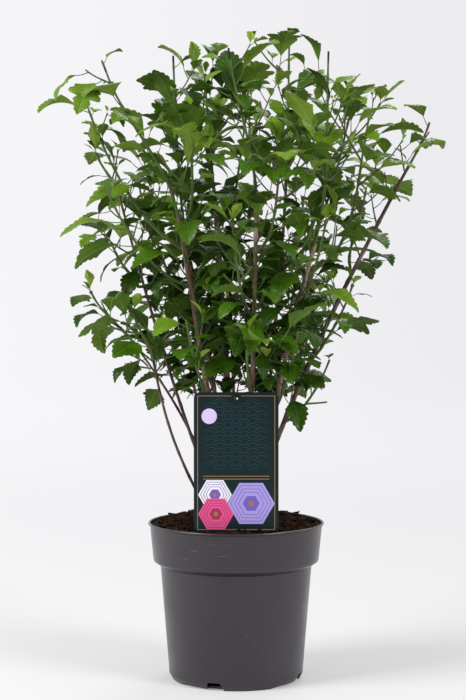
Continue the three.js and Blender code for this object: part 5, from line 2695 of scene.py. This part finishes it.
    def build_cut_ends(self, sprays: list[Spray]) -> None:
        """Builds the dry dark ends of the shoots that were cut back.

        Args:
            sprays: All that grows.
        """
        paths = []
        for lead in (spray.twigs[0] for spray in sprays if spray.twigs[0].cut):
            line = lead.line[-self.dry_points :]
            over = line[-1] + (line[-1] - line[-2]) * self.dry_overlap
            radius = np.full(len(line) + 1, lead.radius[1] * self.stoutness * self.dry_stoutness)
            paths.append((np.vstack([line, over]), radius))
        seat(self.limbs.skin("cut_ends", paths, DRY_COVER), "foliage", [])

    def build_petioles(self, section: Section, sprays: list[Spray]) -> None:
        """Builds the petioles of one section as one piece.

        Args:
            section: The part of the crown.
            sprays: What grows in it.
        """
        paths = [self.petiole(leaf) for spray in sprays for leaf in spray.leaves]
        piece = self.limbs.skin(f"petioles_of_{section.value}", paths, PETIOLE_COVER)
        seat(piece, "foliage", [spray.mass for spray in sprays])

    def petiole(self, leaf: Leaf) -> tuple[Rows, np.ndarray]:
        """Shapes the petiole that carries a leaf, which sags a little and is thinner under small leaves.

        Args:
            leaf: The leaf.

        Returns:
            The petiole's line, which ends inside the blade, and the radius at each point.
        """
        root = leaf.root if leaf.twig is None else leaf.twig.point(leaf.share)
        sag = leaf.over * np.linalg.norm(leaf.base - root) * self.petiole_sag
        shares = np.linspace(0, 1, self.petiole_points)[:, None]
        inside = leaf.forward * leaf.length * self.petiole_overlap
        path = root + (leaf.base + inside - root) * shares - sag * np.sin(math.pi * shares)
        size = min(1.0, self.petiole_least + leaf.length / self.petiole_full)
        return path, mix(*self.petiole_radius, shares[:, 0]) * size


# ---------------------------------------------------------------- studio


@dataclass(frozen=True)
class Lamp:
    """A soft square lamp that looks at the plant."""

    name: str
    azimuth: float  # degrees round from the camera's side, to the right
    height: float  # in metres
    size: float  # of its side, in metres
    power: float  # in watts


LAMPS = (
    Lamp("key", -62, 2.2, 1.7, 122),
    Lamp("fill", 52, 2.1, 1.4, 75),
    Lamp("top", 160, 3.4, 1.8, 40),
)


@dataclass
class Studio:
    """The pale floor that curves up all round, soft lights and the camera."""

    floor_radius: float = 4.4
    bend_radius: float = 2.6
    wall_top: float = 5.0
    focal_length: float = 83.43
    camera_place: Triple = (-0.0033, -1.7511, 0.4118)
    camera_pitch: float = 0.0326  # radians down from level
    sky: float = 0.42  # strength of the light from overhead
    distance: float = 3.3  # of the lamps, level
    aim_height: float = 0.4  # of what the lamps look at

    def build_floor(self) -> None:
        """Builds the floor and its curved edge."""
        bend_radius = self.bend_radius / MM
        bend = arc((self.floor_radius / MM, bend_radius), bend_radius, -90, 0, 28)
        side = (self.floor_radius + self.bend_radius) / MM
        profile = [(0, 0), *((r, max(0.0, z)) for r, z in bend), (side, self.wall_top / MM)]
        floor = new_object("studio_floor", Lathe(tuple(profile), 96).mesh("studio_floor"), STUDIO)
        floor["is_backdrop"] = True

    def build_lamp(self, lamp: Lamp) -> None:
        """Builds one lamp.

        Args:
            lamp: Its place, size and power.
        """
        light = bpy.data.lights.new(lamp.name, "AREA")
        light.size = lamp.size
        light.energy = lamp.power
        holder = link(bpy.data.objects.new(lamp.name, light))
        turn = math.radians(lamp.azimuth)
        holder.location = (self.distance * math.sin(turn), -self.distance * math.cos(turn), lamp.height)
        holder.visible_camera = False
        towards = Vector((0, 0, self.aim_height)) - holder.location
        holder.rotation_euler = towards.to_track_quat("-Z", "Y").to_euler()

    def build_world(self) -> None:
        """Fills the studio with even white light."""
        world = bpy.data.worlds.new("studio")
        world.use_nodes = True
        background = world.node_tree.nodes["Background"]
        background.inputs["Color"].default_value = (1, 1, 1, 1)
        background.inputs["Strength"].default_value = self.sky
        bpy.context.scene.world = world

    def build_camera(self) -> None:
        """Builds the camera."""
        lens = bpy.data.cameras.new("camera")
        lens.sensor_fit = "AUTO"
        lens.sensor_width = 36
        lens.lens = self.focal_length
        camera = link(bpy.data.objects.new("camera", lens))
        camera.location = self.camera_place
        camera.rotation_euler = (math.pi / 2 - self.camera_pitch, 0, 0)
        bpy.context.scene.camera = camera

    def build(self) -> None:
        """Builds the studio."""
        self.build_floor()
        self.build_world()
        for lamp in LAMPS:
            self.build_lamp(lamp)
        self.build_camera()
        view = bpy.context.scene.view_settings
        view.view_transform = "Standard"
        view.look = "None"


def corners() -> list[list[float]]:
    """Returns the lowest and highest corner of what is shown."""
    return [list(corner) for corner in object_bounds()]


def main() -> None:
    """Builds the studio and the plant."""
    logging.basicConfig(level=logging.INFO, format="%(name)s: %(message)s")
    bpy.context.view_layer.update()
    Studio().build()
    Pot().build()
    Soil().build()
    Label().build()
    limbs = LimbTree()
    Canes(limbs).build()
    Foliage(limbs).build()
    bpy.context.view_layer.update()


if __name__ == "__main__":
    main()
